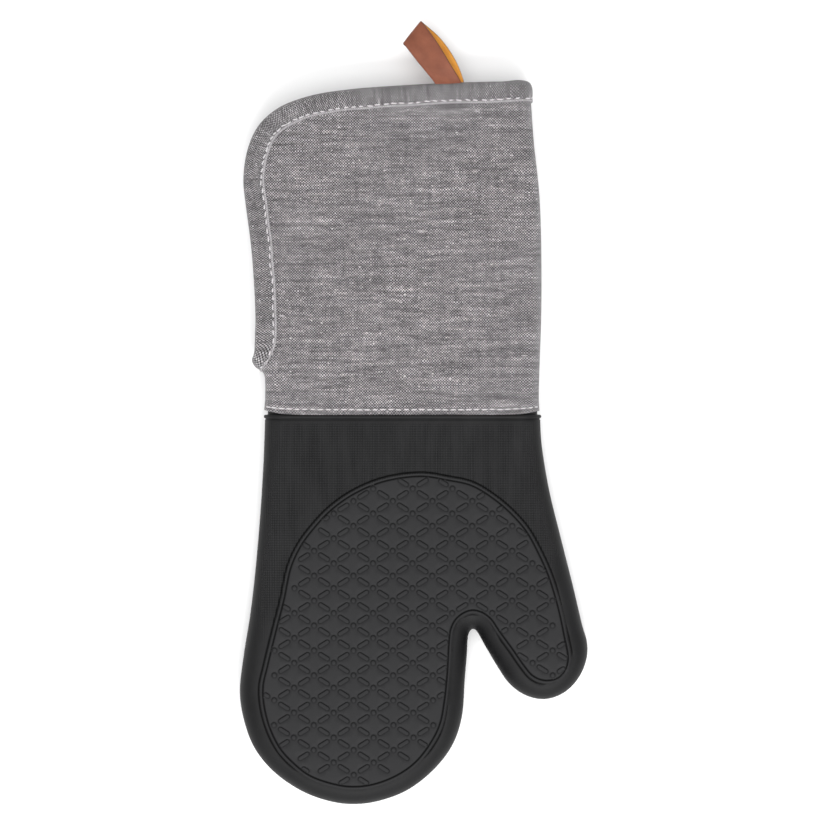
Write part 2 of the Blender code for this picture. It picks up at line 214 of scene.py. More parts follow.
def open_part(line, top, step):
    """The part of the closed line below top, from its left end round to its right end."""
    keep = line[:, 1] < top
    i = int(np.argmax(keep & ~np.roll(keep, 1)))
    line, keep = np.roll(line, -i, 0), np.roll(keep, -i, 0)
    line = line[keep]
    line[0, 1] = line[-1, 1] = top
    return resample(line, False, step)


core_near = Near(resample(core, True, 0.3), True)
pad_line = spline(PAD, True, 0.25)
if np.sum(pad_line[:, 0] * np.roll(pad_line[:, 1], -1) - pad_line[:, 1] * np.roll(pad_line[:, 0], -1)) < 0:
    pad_line = pad_line[::-1]
pad_near = Near(pad_line, True)

TOP_Y = 4.0                                            # the flange runs up under the cuff


def girth(y):
    """Extra radius round the top of the silicone: flange, rolled bead and groove."""
    y = np.asarray(y, float)
    f = -1.5 * smoothstep(-1.15, -0.75, y)
    q = np.clip(1 - ((y + 2.05) / 0.95) ** 2, 0, 1)
    f = np.maximum(f, -0.15 + 0.75 * np.sqrt(q))
    f = np.where(y > -1.1, -1.5 * smoothstep(-1.35, -0.85, y), np.where(y < -3.0, 0, f))
    return f - 0.45 * np.exp(-((y + 3.35) / 0.32) ** 2)


def ridge(o):
    """Profile across the pad's raised rim."""
    o = np.abs(o)
    return 0.46 * np.exp(-(o / 0.70) ** 6) - 0.58 * np.exp(-((o - 1.16) / 0.27) ** 2)


# grip pattern: a lattice of dots joined by short bars
LX, LY = 20.9, 6.53
DOT0 = (-10.5, -46.1)
dots, bars = [], []
for j in range(-4, 30):
    for i in range(-8, 9):
        x = DOT0[0] + LX * (i + (0.5 if j % 2 else 0.0))
        y = DOT0[1] - LY * j
        drift = 0.6 * math.sin(x / 40.0 + 1.0) * math.sin(y / 52.0)
        dots.append((x + drift, y))
        for sx in (-1, 1):
            x2 = x + sx * LX / 2
            bars.append((((x + x2) / 2 + drift, y - LY / 2), math.atan2(-LY, sx * LX / 2)))
BAR_L, BAR_R, BAR_H = 2.25, 1.0, 0.46
DOT_R, DOT_H = 1.32, 0.46


def dot_ok(p):
    return -pad_near(*p) > 2.5


dots = [p for p in dots if dot_ok(p)]


def bar_len(c, a):
    """Both ends of a bar, cut back where the rim stops it, or None."""
    d = np.array([math.cos(a), math.sin(a)])
    ts = [t for t in np.linspace(-BAR_L, BAR_L, 15) if -pad_near(*(np.array(c) + d * t)) > 2.3]
    if len(ts) < 5:
        return None
    return np.array(c) + d * min(ts), np.array(c) + d * max(ts)


bars = [b for b in (bar_len(c, a) for c, a in bars) if b is not None]


def bar_height(s):
    s = s / BAR_R
    return BAR_H * (1 - 0.10 * s * s) * (1 - smoothstep(0.74, 1.02, s)) - 0.36 * np.exp(-((s - 1.12) / 0.17) ** 2)


def dot_height(s):
    s = s / DOT_R
    return DOT_H * (1 - 0.14 * s * s) * (1 - smoothstep(0.74, 1.0, s)) - 0.34 * np.exp(-((s - 1.1) / 0.14) ** 2)


def pillow(x, y):
    """The fields between the bars swell a little."""
    a = (x - DOT0[0]) / LX
    b = (y - DOT0[1]) / (2 * LY)
    return 0.13 * np.abs(np.sin(math.pi * (a + b)) * np.sin(math.pi * (a - b)))


def silicone_points():
    """Points of the flat part of the palm, with each one's feature height and the weight of painted shade in its
    grooves.
    """
    pts, hgt = [], []
    taken = {}

    # shade: how much painted shade this point's groove gets in the colour, 1 for full
    def add(x, y, h, sep=0.16, shade=1.0):
        key = (int(x / 0.5), int(y / 0.5))
        for a in (-1, 0, 1):
            for b in (-1, 0, 1):
                for q in taken.get((key[0] + a, key[1] + b), ()):
                    if (q[0] - x) ** 2 + (q[1] - y) ** 2 < sep * sep:
                        return
        taken.setdefault(key, []).append((x, y))
        pts.append((x, y))
        hgt.append((h, shade))

    n = normals2(pad_line, True)
    seg = np.linalg.norm(pad_line - np.roll(pad_line, 1, 0), axis=1).sum()
    line = resample(pad_line, True, seg / round(seg / 1.15))
    nn = normals2(line, True)
    for o in (0, 0.42, -0.42, 0.6, -0.6, 0.76, -0.76, 0.95, -0.95, 1.14, -1.14, 1.33, -1.33, 1.55, -1.55, 2.0, -2.0):
        for p, q in zip(line, nn):
            add(p[0] + q[0] * o, p[1] + q[1] * o, float(ridge(o)))
    for p in dots:
        for r, k in ((0, 1), (0.6, 6), (0.97, 10), (1.14, 12), (1.31, 12), (1.45, 12), (1.65, 12), (2.0, 11)):
            for i in range(k):
                t = 2 * math.pi * (i + 0.5 * (k % 2)) / k
                # a dot's groove gets more painted shade towards its +y side
                add(p[0] + r * math.cos(t), p[1] + r * math.sin(t), float(dot_height(r)), shade=0.72 + 0.28 * math.sin(t))
    for a, b in bars:
        d = b - a
        L = float(np.linalg.norm(d))
        d = d / max(L, 1e-6)
        m = np.array([-d[1], d[0]])
        for s in (0.0, 0.5, 0.74, 0.88, 1.0, 1.11, 1.27, 1.55):
            h = float(bar_height(s))
            k = max(2, int(L / 0.85))
            for side in ((1,) if s == 0 else (1, -1)):
                for i in range(k + 1):
                    p = a + d * (L * i / k) + m * (s * side)
                    if pad_near(*p) < -1.5:
                        # the bar's groove gets full painted shade on its +y side and 0.42 of it on the other
                        add(p[0], p[1], h, shade=1.0 if m[1] * side > 0 else 0.42)
            if s > 0:
                for end, sgn in ((a, -1), (b, 1)):
                    for t in (-50, -17, 17, 50):
                        w = math.radians(t)
                        p = end + d * (sgn * s * math.cos(w)) + m * (s * math.sin(w))
                        if pad_near(*p) < -1.5:
                            add(p[0], p[1], h, shade=0.7)
    for y in (4.0, 2.4, 0.6, -0.4, -0.8, -1.0, -1.2, -1.4, -1.65, -2.05, -2.45, -2.7, -2.85, -3.0, -3.15,
              -3.35, -3.55, -3.8, -4.4):
        for x in np.arange(-76, 66, 1.7):
            add(x, y, 0.0, 0.14)
    for iy, y in enumerate(np.arange(-200, -5.2, 2.3)):
        for x in np.arange(-88, 90, 2.6):
            add(x + 1.3 * (iy % 2), y, 0.0, 0.95)
    return np.array(pts), np.array(hgt)


def ease_crotch(v, faces, padv):
    """Smooths the tight saddle between the fingers and the thumb."""
    d = np.hypot(v[:, 0] - 31.7, v[:, 1] + 112.2)
    w = smoothstep(9.5, 4.0, d) * (padv < 0.01) * (np.abs(v[:, 2] - MID) > 0.5)
    near = set(np.nonzero(w > 0)[0].tolist())
    links = {i: set() for i in near}
    for f in faces:
        for a, b in zip(f, f[1:] + f[:1]):
            if a in near:
                links[a].add(b)
            if b in near:
                links[b].add(a)
    ids = sorted(near)
    for _ in range(14):
        new = v.copy()
        for i in ids:
            new[i] = v[i] + (v[list(links[i])].mean(0) - v[i]) * (0.6 * w[i])
        v = new
    return v


def build_silicone():
    edge = open_part(core, TOP_Y, 1.15)
    # finer rows near the top, where the bead and groove are
    rows = [TOP_Y, 2.4, 0.6, -0.4, -0.8, -1.0, -1.2, -1.4, -1.65, -2.05, -2.45, -2.7, -2.85, -3.0, -3.15,
            -3.35, -3.55, -3.8, -4.4, -5.2]
    mid = edge[(edge[:, 1] < -5.8)]
    left = np.array([[np.interp(-y, -edge[:20, 1], edge[:20, 0]), y] for y in rows])
    right = np.array([[np.interp(-y, -edge[::-1][:20, 1], edge[::-1][:20, 0]), y] for y in rows])[::-1]
    edge = np.vstack([left, mid, right])
    nrm = normals2(edge, False)
    bound = edge + nrm * 3.0
    phi0 = math.acos(3.0 / EDGE_R)
    pts, hgt = silicone_points()
    ok = inside(offset(bound, -0.35, False), pts) & (pts[:, 1] < TOP_Y - 0.05)
    pts, hgt = pts[ok], hgt[ok]
    top = [(x, TOP_Y) for x in np.arange(bound[-1][0] - 2.0, bound[0][0] + 1.0, -2.0)]
    coords = [Vector(p) for p in bound] + [Vector(p) for p in top] + [Vector(p) for p in pts]
    nb = len(bound) + len(top)
    loop = [(i, (i + 1) % nb) for i in range(nb)]
    v2, _, tris, orig, _, _ = geometry.delaunay_2d_cdt(coords, loop, [list(range(nb))], 1, 1e-4)
    v2 = np.array([tuple(v) for v in v2])
    # heights, with the last of the rounding between the rings and the flat
    h = np.zeros(len(v2))
    shade = np.ones(len(v2))
    for k, o in enumerate(orig):
        for q in o:
            if q >= nb:
                h[k], shade[k] = hgt[q - nb]
    e = np.array([core_near(x, y) for x, y in v2])
    R = EDGE_R + girth(v2[:, 1])
    # pad stands a little proud, and its rim's profile rides on top
    padd = np.array([pad_near(x, y) for x, y in v2])
    base = 1 + R * np.sqrt(np.clip(1 - (np.clip(e, 0, None) / EDGE_R) ** 2, 0, 1))
    padrise = 0.10 * smoothstep(0.9, -0.9, padd) + pillow(v2[:, 0], v2[:, 1]) * smoothstep(-2.0, -5.0, padd)
    rings = []
    for k in range(11):
        phi = phi0 * k / 11
        Rk = EDGE_R + girth(edge[:, 1])
        x = edge[:, 0] + nrm[:, 0] * Rk * math.cos(phi)
        y = edge[:, 1] + nrm[:, 1] * Rk * math.cos(phi)
        rings.append(np.stack([x, y, 1 + Rk * math.sin(phi),
                               und(edge[:, 0], edge[:, 1]) * math.sin(phi) ** 3], axis=1))
    n = len(edge)
    verts, faces, uv, padv, painted_groove_shade = [], [], [], [], []
    sgn_faces = []
    for sgn in (1, -1):
        start = len(verts)
        lift = 1.0 if sgn > 0 else 0.3                 # the back is pressed flat by the table
        zi = (base + padrise + h) + lift * und(v2[:, 0], v2[:, 1])
        ring_idx = []
        for k, r in enumerate(rings):
            ring_idx.append([len(verts) + i for i in range(n)])
            for i, p in enumerate(r):
                verts.append((p[0], p[1], MID + sgn * (p[2] + lift * p[3])))
                uv.append((p[0] * 0.999 + nrm[i, 0] * (EDGE_R * (phi0 * (1 - k / 11)) * 0.3),
                           p[1] + nrm[i, 1] * (EDGE_R * (phi0 * (1 - k / 11)) * 0.3)))
                padv.append(0.0)
                painted_groove_shade.append(0.0)
        vin = [len(verts) + i for i in range(len(v2))]
        remap = {}
        for k, o in enumerate(orig):
            for q in o:
                if q < len(bound):
                    remap[q] = vin[k]
        for k, p in enumerate(v2):
            verts.append((p[0], p[1], MID + sgn * zi[k]))
            uv.append((p[0], p[1]))
            padv.append(float(smoothstep(0.4, -0.4, padd[k])))
            # painted shade in the grooves round the bars, dots and rim, scaled by each point's shade weight
            painted_groove_shade.append(float(min(1.0, max(0.0, -h[k] / 0.24)) * shade[k]))
        for k in range(10):
            a, b = ring_idx[k], ring_idx[k + 1]
            for i in range(n - 1):
                f = (a[i], a[i + 1], b[i + 1], b[i])
                faces.append(f if sgn > 0 else f[::-1])
        a = ring_idx[10]
        for i in range(n - 1):
            f = (a[i], a[i + 1], remap[i + 1], remap[i])
            faces.append(f if sgn > 0 else f[::-1])
        for t in tris:
            f = tuple(vin[q] for q in t)
            faces.append(f if sgn > 0 else f[::-1])
        if sgn > 0:
            front0 = ring_idx[0]
        else:
            back0 = ring_idx[0]
    for i in range(n - 1):
        faces.append((back0[i], back0[i + 1], front0[i + 1], front0[i]))
    verts = np.array(verts)
    uv = np.array(uv)
    return ease_crotch(verts, faces, np.array(padv)), faces, uv, np.array(padv), np.array(painted_groove_shade)



# ------------------------------------------------------------------ soft layers
class Tube:
    """Front half of a flat tube with round sides, cut to a region; coordinates come later."""

    def __init__(self, core_line, e0, rings, pts, keep):
        self.c, self.n = core_line, normals2(core_line, True)
        self.near = Near(resample(core_line, True, 0.4), True)
        self.e0, self.K = e0, rings
        bound = self.c + self.n * e0
        ok = inside(offset(bound, -0.5, True), pts)
        pts = pts[ok]
        coords = [Vector(p) for p in bound] + [Vector(p) for p in pts]
        nb = len(bound)
        v2, _, tris, orig, _, _ = geometry.delaunay_2d_cdt(
            coords, [(i, (i + 1) % nb) for i in range(nb)], [list(range(nb))], 1, 1e-4)
        self.v2 = np.array([tuple(v) for v in v2])
        self.e = np.array([self.near(x, y) for x, y in self.v2])
        remap = {}
        for k, o in enumerate(orig):
            for q in o:
                if q < nb:
                    remap[q] = k
        n, K = nb, rings
        off = n * K
        outer = self.c + self.n * 10.0
        kc = keep((outer + np.roll(outer, -1, 0)) / 2)
        faces = []
        for k in range(K):
            for i in np.nonzero(kc)[0]:
                i = int(i)
                j = (i + 1) % n
                a, b = k * n + i, k * n + j
                if k < K - 1:
                    faces.append((a, b, b + n, a + n))
                else:
                    faces.append((a, b, off + remap[j], off + remap[i]))
        tri = np.array([list(t) for t in tris])
        kv = keep(self.v2[tri].mean(1))
        for t in tri[kv]:
            faces.append(tuple(int(off + q) for q in t))
        self.faces = faces
        self.band = [(int(i), (int(i) + 1) % n) for i in np.nonzero(kc)[0]]

    def half(self, h, extra=None, seam=0.0):
        """Points of one half at distance h from the middle; seam draws the two sides' middle line in."""
        out = []
        r0 = h - 1.0
        phi0 = math.acos(min(1.0, self.e0 / r0))
        for k in range(self.K):
            phi = phi0 * k / self.K
            r = r0 - seam * (1.0 if k == 0 else 0.25 if k == 1 else 0.0)
            ex = extra(self.c[:, 0], self.c[:, 1]) * math.sin(phi) ** 2 if extra else 0.0
            x = self.c[:, 0] + self.n[:, 0] * r * math.cos(phi)
            y = self.c[:, 1] + self.n[:, 1] * r * math.cos(phi)
            out.append(np.stack([x, y, np.full(len(x), 1 + r * math.sin(phi)) + ex], axis=1))
        r = r0
        x, y = self.v2.T
        z = 1 + np.sqrt(np.clip(r * r - np.clip(self.e, 0, None) ** 2, 0.01, None))
        if extra:
            z = z + extra(x, y)
        out.append(np.stack([x, y, z], axis=1))
        return np.vstack(out)

    def flat(self):
        """Cloth coordinates: arc length is kept round the sides."""
        out = []
        for k in range(self.K):
            w = (1 - k / self.K) * 10.0
            out.append(self.c + self.n * (self.e0 + w))
        out.append(self.v2)
        return np.vstack(out)


def drop_unused(v, faces, extras):
    used = sorted({i for f in faces for i in f})
    new = {o: k for k, o in enumerate(used)}
    return v[used], [tuple(new[i] for i in f) for f in faces], [e[used] for e in extras]


def thicken(v0, v1, faces):
    """Closes the gap between an outer and an inner copy of the same faces."""
    n = len(v0)
    seen = {}
    for f in faces:
        for a, b in zip(f, f[1:] + f[:1]):
            seen[(a, b)] = seen.get((a, b), 0) + 1
    out = list(faces) + [tuple(n + i for i in f[::-1]) for f in faces]
    for (a, b) in seen:
        if (b, a) not in seen:
            out.append((b, a, n + a, n + b))
    return np.vstack([v0, v1]), out


def flat_place(v, sgn, und_on=True):
    """Row-frame place of a hand layer."""
    p = v.copy()
    lift = (1.0 if sgn > 0 else 0.3)
    p[:, 2] = MID + sgn * (v[:, 2])
    return p


def cuff_place(v, sgn):
    """The cuff thins towards its mouth and lies lower there."""
    t = np.clip(v[:, 1], 0, None) / CUFF_LEN
    p = v.copy()
    p[:, 2] = MID - MOUTH_DROP * t + sgn * v[:, 2] * (1 - (1 - MOUTH_K) * t)
    return p


def build(T, h0, h1, place, sides, extra0=None, extra1=None, seam=0.0):
    """A closed sheet between distances h0 and h1; sides is (1,), (-1,) or both for a tube."""
    fl = T.flat()
    vs0, vs1, faces, uv = [], [], [], []
    n = len(T.c)
    for s in sides:
        off = sum(len(a) for a in vs0)
        e0 = (lambda x, y, s=s: extra0(x, y, s)) if extra0 else None
        e1 = (lambda x, y, s=s: extra1(x, y, s)) if extra1 else None
        vs0.append(place(T.half(h0, e0, seam), s))
        vs1.append(place(T.half(h1, e1, seam), s))
        uv.append(fl if s > 0 else fl * [1, 1] + [311.3, 173.7])
        for f in T.faces:
            g = tuple(off + i for i in f)
            faces.append(g if s > 0 else g[::-1])
    if len(sides) == 2:
        off = len(vs0[0])
        for i, j in T.band:
            faces.append((off + i, off + j, j, i))
    v0, v1, uv = np.vstack(vs0), np.vstack(vs1), np.vstack(uv)
    v0, f2, (v1, uv) = drop_unused(v0, faces, [v1, uv])
    v, f = thicken(v0, v1, f2)
    return v, f, np.vstack([uv, uv])


# ------------------------------------------------------------------ materials
class Nodes:
    def __init__(self, name, colour=(0.5, 0.5, 0.5)):
        self.m = bpy.data.materials.new(name)
        self.m.use_nodes = True
        self.t = self.m.node_tree
        self.b = self.t.nodes["Principled BSDF"]
        self.b.inputs["Base Color"].default_value = (*colour, 1)

    def node(self, kind, **props):
        n = self.t.nodes.new(kind)
        for k, v in props.items():
            setattr(n, k, v)
        return n

    def put(self, sock, v):
        if v is None:
            return
        if isinstance(v, bpy.types.NodeSocket):
            self.t.links.new(v, sock)
        elif isinstance(v, tuple) and len(v) == 3 and sock.type == "RGBA":
            sock.default_value = (*v, 1)
        else:
            sock.default_value = v

    def math(self, op, a, b=None, c=None, clamp=False):
        n = self.node("ShaderNodeMath", operation=op, use_clamp=clamp)
        for s, v in zip(n.inputs, (a, b, c)):
            self.put(s, v)
        return n.outputs[0]

    def mix(self, f, a, b):
        n = self.node("ShaderNodeMix", data_type="RGBA")
        self.put(n.inputs["Factor"], f)
        self.put(n.inputs[6], a)
        self.put(n.inputs[7], b)
        return n.outputs[2]

    def mixf(self, f, a, b):
        n = self.node("ShaderNodeMix", data_type="FLOAT")
        self.put(n.inputs[0], f)
        self.put(n.inputs[2], a)
        self.put(n.inputs[3], b)
        return n.outputs[0]

    def uv(self):
        u = self.node("ShaderNodeUVMap", uv_map="cloth")
        s = self.node("ShaderNodeSeparateXYZ")
        self.t.links.new(u.outputs[0], s.inputs[0])
        return s.outputs[0], s.outputs[1]

    def vec(self, x, y, z=0.0):
        n = self.node("ShaderNodeCombineXYZ")
        for s, v in zip(n.inputs, (x, y, z)):
            self.put(s, v)
        return n.outputs[0]

    def noise(self, v, scale, detail=2.0, rough=0.5):
        n = self.node("ShaderNodeTexNoise")
        self.put(n.inputs["Vector"], v)
        n.inputs["Scale"].default_value = scale
        n.inputs["Detail"].default_value = detail
        n.inputs["Roughness"].default_value = rough
        return n.outputs[0]

    def remap(self, v, a, b, c, d):
        n = self.node("ShaderNodeMapRange")
        self.put(n.inputs[0], v)
        for s, x in zip(list(n.inputs)[1:5], (a, b, c, d)):
            self.put(s, x)
        return n.outputs[0]

    def bump(self, height, dist_mm, strength=1.0, normal=None):
        n = self.node("ShaderNodeBump")
        n.inputs["Distance"].default_value = dist_mm * MM
        n.inputs["Strength"].default_value = strength
        self.put(n.inputs["Height"], height)
        if normal is not None:
            self.put(n.inputs["Normal"], normal)
        return n.outputs[0]

    def attr(self, name):
        return self.node("ShaderNodeAttribute", attribute_name=name).outputs["Fac"]


def set_in(b, **kw):
    for k, v in kw.items():
        b.inputs[k.replace("_", " ")].default_value = v


def silicone_material():
    n = Nodes("silicone_black", (0.010, 0.010, 0.0106))
    u, v = n.uv()
    pad, rib = n.attr("pad"), n.attr("rib")
    P = 1.32
    wob = n.noise(n.vec(n.math("MULTIPLY", u, 0.9), n.math("MULTIPLY", v, 0.05)), 1.0, 1.0)
    uu = n.math("ADD", u, n.math("MULTIPLY", wob, 0.35))
    ribs = n.math("SINE", n.math("MULTIPLY", uu, 2 * math.pi / P))
    cross = n.math("SINE", n.math("MULTIPLY", v, 2 * math.pi / 1.3))
    ribs = n.math("ADD", n.math("MULTIPLY", ribs, 0.75), n.math("MULTIPLY", cross, 0.35))
    amp = n.noise(n.vec(n.math("MULTIPLY", u, 0.22), n.math("MULTIPLY", v, 0.03)), 1.0, 2.0)
    amp = n.remap(amp, 0.3, 0.7, 0.35, 1.2)
    ribs = n.math("MULTIPLY", n.math("MULTIPLY", ribs, amp), rib)
    grain = n.noise(n.vec(u, v), 3.2, 2.0, 0.6)
    h = n.math("ADD", n.math("MULTIPLY", ribs, 0.20), n.math("MULTIPLY", grain, 0.05))
    n.put(n.b.inputs["Normal"], n.bump(h, 1.0))
    # colour: a touch lighter on the pad, cloudy with moulding and dust
    cloud = n.noise(n.vec(n.math("MULTIPLY", u, 0.05), n.math("MULTIPLY", v, 0.035)), 1.0, 4.0, 0.6)
    c = n.mix(n.remap(cloud, 0.25, 0.75, 0.0, 1.0), (0.0030, 0.0030, 0.0033), (0.0112, 0.0112, 0.0117))
    c = n.mix(n.math("MULTIPLY", pad, 0.6), c, (0.0170, 0.0170, 0.0181))
    # painted highlight on the rib crests
    c = n.mix(n.math("MULTIPLY", n.remap(ribs, 0.1, 1.0, 0.0, 0.5), rib), c, (0.020, 0.020, 0.021))
    lint = n.noise(n.vec(u, v), 1.7, 1.0)
    lint = n.remap(lint, 0.735, 0.80, 0.0, 0.35)
    c = n.mix(lint, c, (0.05, 0.05, 0.052))
    # painted shade on the rounded sides of the mitt
    c = n.mix(n.math("MULTIPLY", n.attr("rim"), 0.75), c, (0.0030, 0.0030, 0.0034))
    # painted shade in the grooves round the bars, dots and pad rim, heavier on their +y side
    painted_groove_shade = n.attr("painted_groove_shade")
    c = n.mix(n.math("MULTIPLY", painted_groove_shade, 0.92), c, (0.0008, 0.0008, 0.0009))
    n.put(n.b.inputs["Base Color"], c)
    r = n.remap(cloud, 0.3, 0.7, 0.50, 0.62)
    r = n.math("ADD", r, n.math("MULTIPLY", grain, 0.06))
    n.put(n.b.inputs["Roughness"], n.math("ADD", r, n.math("MULTIPLY", painted_groove_shade, 0.3)))
    set_in(n.b, IOR=1.41)
    n.b.inputs["Specular IOR Level"].default_value = 0.25
    return n.m


def weave_material(name, pitch, dark, light, mottle=1.0, bump=0.16, sheen=0.2, slub=1.0, tall=1.0, edged=False):
    """Plain weave of two yarns in cloth coordinates, with uneven yarns, slubs and white nubs."""
    n = Nodes(name, tuple((a + b) / 2 for a, b in zip(dark, light)))
    u, v = n.uv()
    big = n.noise(n.vec(n.math("MULTIPLY", u, 0.045), n.math("MULTIPLY", v, 0.06)), 1.0, 2.0)
    wu = n.noise(n.vec(n.math("MULTIPLY", u, 0.35), n.math("MULTIPLY", v, 0.12)), 1.0, 2.0)
    wv = n.noise(n.vec(n.math("MULTIPLY", u, 0.10), n.math("MULTIPLY", v, 0.40), 9.0), 1.0, 2.0)
    us = n.math("DIVIDE", n.math("ADD", u, n.math("MULTIPLY", wu, 0.9)), pitch)
    vs = n.math("DIVIDE", n.math("ADD", v, n.math("MULTIPLY", wv, 0.9)), pitch * tall)
    i, j = n.math("FLOOR", us), n.math("FLOOR", vs)
    fu, fv = n.math("FRACT", us), n.math("FRACT", vs)
    par = n.math("PINGPONG", n.math("ADD", i, j), 1.0)
    bu = n.math("SINE", n.math("MULTIPLY", fu, math.pi))
    bv = n.math("SINE", n.math("MULTIPLY", fv, math.pi))
    warp_h = n.math("MULTIPLY", n.math("POWER", bu, 0.5), n.math("MULTIPLY_ADD", bv, 0.5, 0.5))
    weft_h = n.math("MULTIPLY", n.math("POWER", bv, 0.5), n.math("MULTIPLY_ADD", bu, 0.5, 0.5))
    h = n.mixf(par, warp_h, weft_h)
    # yarn shades: every yarn has its own, and it changes slowly along the yarn
    warp_s = n.noise(n.vec(n.math("MULTIPLY", i, 3.71), n.math("MULTIPLY", v, 0.07)), 1.0, 2.0)
    weft_s = n.noise(n.vec(n.math("MULTIPLY", u, 0.075), n.math("MULTIPLY", j, 3.37), 4.0), 1.0, 2.0)
    fibre = n.noise(n.vec(n.math("MULTIPLY", u, 2.3), n.math("MULTIPLY", v, 2.3), 2.0), 1.0, 2.0, 0.6)
    cell = n.node("ShaderNodeTexWhiteNoise", noise_dimensions="2D")
    n.put(cell.inputs["Vector"], n.vec(i, j))
    cell = cell.outputs["Value"]
    mid = n.noise(n.vec(n.math("MULTIPLY", u, 0.42), n.math("MULTIPLY", v, 0.85), 6.0), 1.0, 2.0, 0.6)
    dk = n.mix(n.remap(warp_s, 0.30, 0.70, 0.0, 1.0), tuple(c * 0.55 for c in dark), tuple(c * 1.75 for c in dark))
    lt = n.mix(n.remap(weft_s, 0.28, 0.72, 0.0, 1.0), tuple(c * (1 - 0.48 * slub) for c in light),
               tuple(min(0.95, c * (1 + 0.42 * slub)) for c in light))
    c = n.mix(par, dk, lt)
    c = n.mix(n.remap(fibre, 0.35, 0.75, 0.0, 0.15), c, tuple(x * 1.1 for x in light))
    # shade between yarns
    gap = n.remap(h, 0.05, 0.55, 0.42, 1.0)
    # long soft streaks and the cloudiness of a melange
    st = n.noise(n.vec(n.math("MULTIPLY", u, 0.03), n.math("MULTIPLY", v, 0.38), 7.0), 1.0, 3.0, 0.55)
    st2 = n.noise(n.vec(n.math("MULTIPLY", u, 0.30), n.math("MULTIPLY", v, 0.045), 3.0), 1.0, 2.0, 0.5)
    tone = n.math("ADD", n.remap(st, 0.3, 0.7, 1 - 0.19 * mottle, 1 + 0.19 * mottle),
                  n.remap(st2, 0.3, 0.7, -0.07 * mottle, 0.07 * mottle))
    tone = n.math("MULTIPLY", tone, n.remap(big, 0.3, 0.7, 1 - 0.06 * mottle, 1 + 0.06 * mottle))
    tone = n.math("MULTIPLY", tone, n.remap(cell, 0.0, 1.0, 0.86, 1.14))
    tone = n.math("MULTIPLY", tone, n.remap(mid, 0.25, 0.75, 0.50, 1.50))
    tone = n.math("MULTIPLY", tone, gap)
    # slubs: short thick light stretches of weft, and a few round nubs
    sl = n.noise(n.vec(n.math("MULTIPLY", u, 0.11), n.math("MULTIPLY", j, 7.77), 5.0), 1.0, 1.0)
    sl = n.remap(sl, 0.73, 0.82, 0.0, 0.55 * slub)
    nub = n.noise(n.vec(n.math("MULTIPLY", u, 0.55), n.math("MULTIPLY", v, 0.75), 1.0), 1.0, 0.0)
    nub = n.remap(nub, 0.80, 0.84, 0.0, 0.8 * slub)
    hue = n.node("ShaderNodeHueSaturation")
    n.put(hue.inputs["Value"], tone)
    n.put(hue.inputs["Color"], c)
    c = n.mix(n.math("MAXIMUM", sl, nub), hue.outputs[0], (0.60, 0.575, 0.59))
    if edged:                             # crest of the folded edge lightened, partly for wear and partly as painted highlight, and painted shade under it
        e = n.attr("edge")
        c = n.mix(n.math("MULTIPLY", n.remap(e, 0.0, 1.0, 0.0, 1.0), 0.45), c, (0.50, 0.48, 0.495))
        c = n.mix(n.math("MULTIPLY", n.remap(e, 0.0, -1.0, 0.0, 1.0), 0.7), c, (0.03, 0.028, 0.03))
    n.put(n.b.inputs["Base Color"], c)
    hh = n.math("ADD", h, n.math("MULTIPLY", n.math("MAXIMUM", sl, nub), 0.8))
    hh = n.math("ADD", hh, n.math("MULTIPLY", fibre, 0.35))
    n.put(n.b.inputs["Normal"], n.bump(hh, bump))
    set_in(n.b, Roughness=0.92)
    n.b.inputs["Specular IOR Level"].default_value = 0.25
    n.b.inputs["Sheen Weight"].default_value = sheen
    n.b.inputs["Sheen Roughness"].default_value = 0.5
    return n.m


def thread_material(name, colour, rough=0.6):
    """Two-ply twisted thread: the ply lines run slantwise round the stitch."""
    n = Nodes(name, colour)
    u, v = n.uv()
    tw = n.math("SINE", n.math("MULTIPLY", n.math("ADD", u, n.math("MULTIPLY", v, 1.2)), 2 * math.pi / 0.75))
    no = n.noise(n.vec(u, v), 1.3, 2.0)
    # colour follows the twist: painted highlight on the ply crests and painted shade in their grooves, with random tone
    # from noise
    n.put(n.b.inputs["Base Color"], n.mix(n.remap(n.math("ADD", tw, no), -1.0, 2.0, 0.0, 1.0),
                                          tuple(c * 0.55 for c in colour), tuple(min(1, c * 1.2) for c in colour)))
    n.put(n.b.inputs["Normal"], n.bump(tw, 0.06))
    set_in(n.b, Roughness=rough)
    n.b.inputs["Sheen Weight"].default_value = 0.2
    return n.m


def leather_material(name, base, deep, light, grain=1.0, rough=0.42):
    n = Nodes(name, base)
    u, v = n.uv()
    edge = n.attr("edge")
    vo = n.node("ShaderNodeTexVoronoi", feature="DISTANCE_TO_EDGE")
    n.put(vo.inputs["Vector"], n.vec(u, v))
    vo.inputs["Scale"].default_value = 1.9
    cells = n.remap(vo.outputs["Distance"], 0.0, 0.16, 0.0, 1.0)
    fine = n.noise(n.vec(u, v), 4.0, 3.0, 0.6)
    blot = n.noise(n.vec(n.math("MULTIPLY", u, 0.14), n.math("MULTIPLY", v, 0.10)), 1.0, 3.0, 0.55)
    c = n.mix(n.remap(blot, 0.3, 0.7, 0.0, 1.0), deep, light)
    c = n.mix(n.remap(fine, 0.3, 0.7, 0.0, 0.25), c, base)
    c = n.mix(n.math("MULTIPLY", n.math("SUBTRACT", 1.0, cells), 0.25), c, deep)
    c = n.mix(n.math("MULTIPLY", edge, 0.85), c, tuple(x * 0.28 for x in deep))
    n.put(n.b.inputs["Base Color"], c)
    h = n.math("ADD", n.math("MULTIPLY", cells, 0.05 * grain), n.math("MULTIPLY", fine, 0.05 * grain))
    n.put(n.b.inputs["Normal"], n.bump(h, 1.0))
    n.put(n.b.inputs["Roughness"], n.remap(blot, 0.3, 0.7, rough, rough + 0.12))
    n.b.inputs["Specular IOR Level"].default_value = 0.3
    return n.m


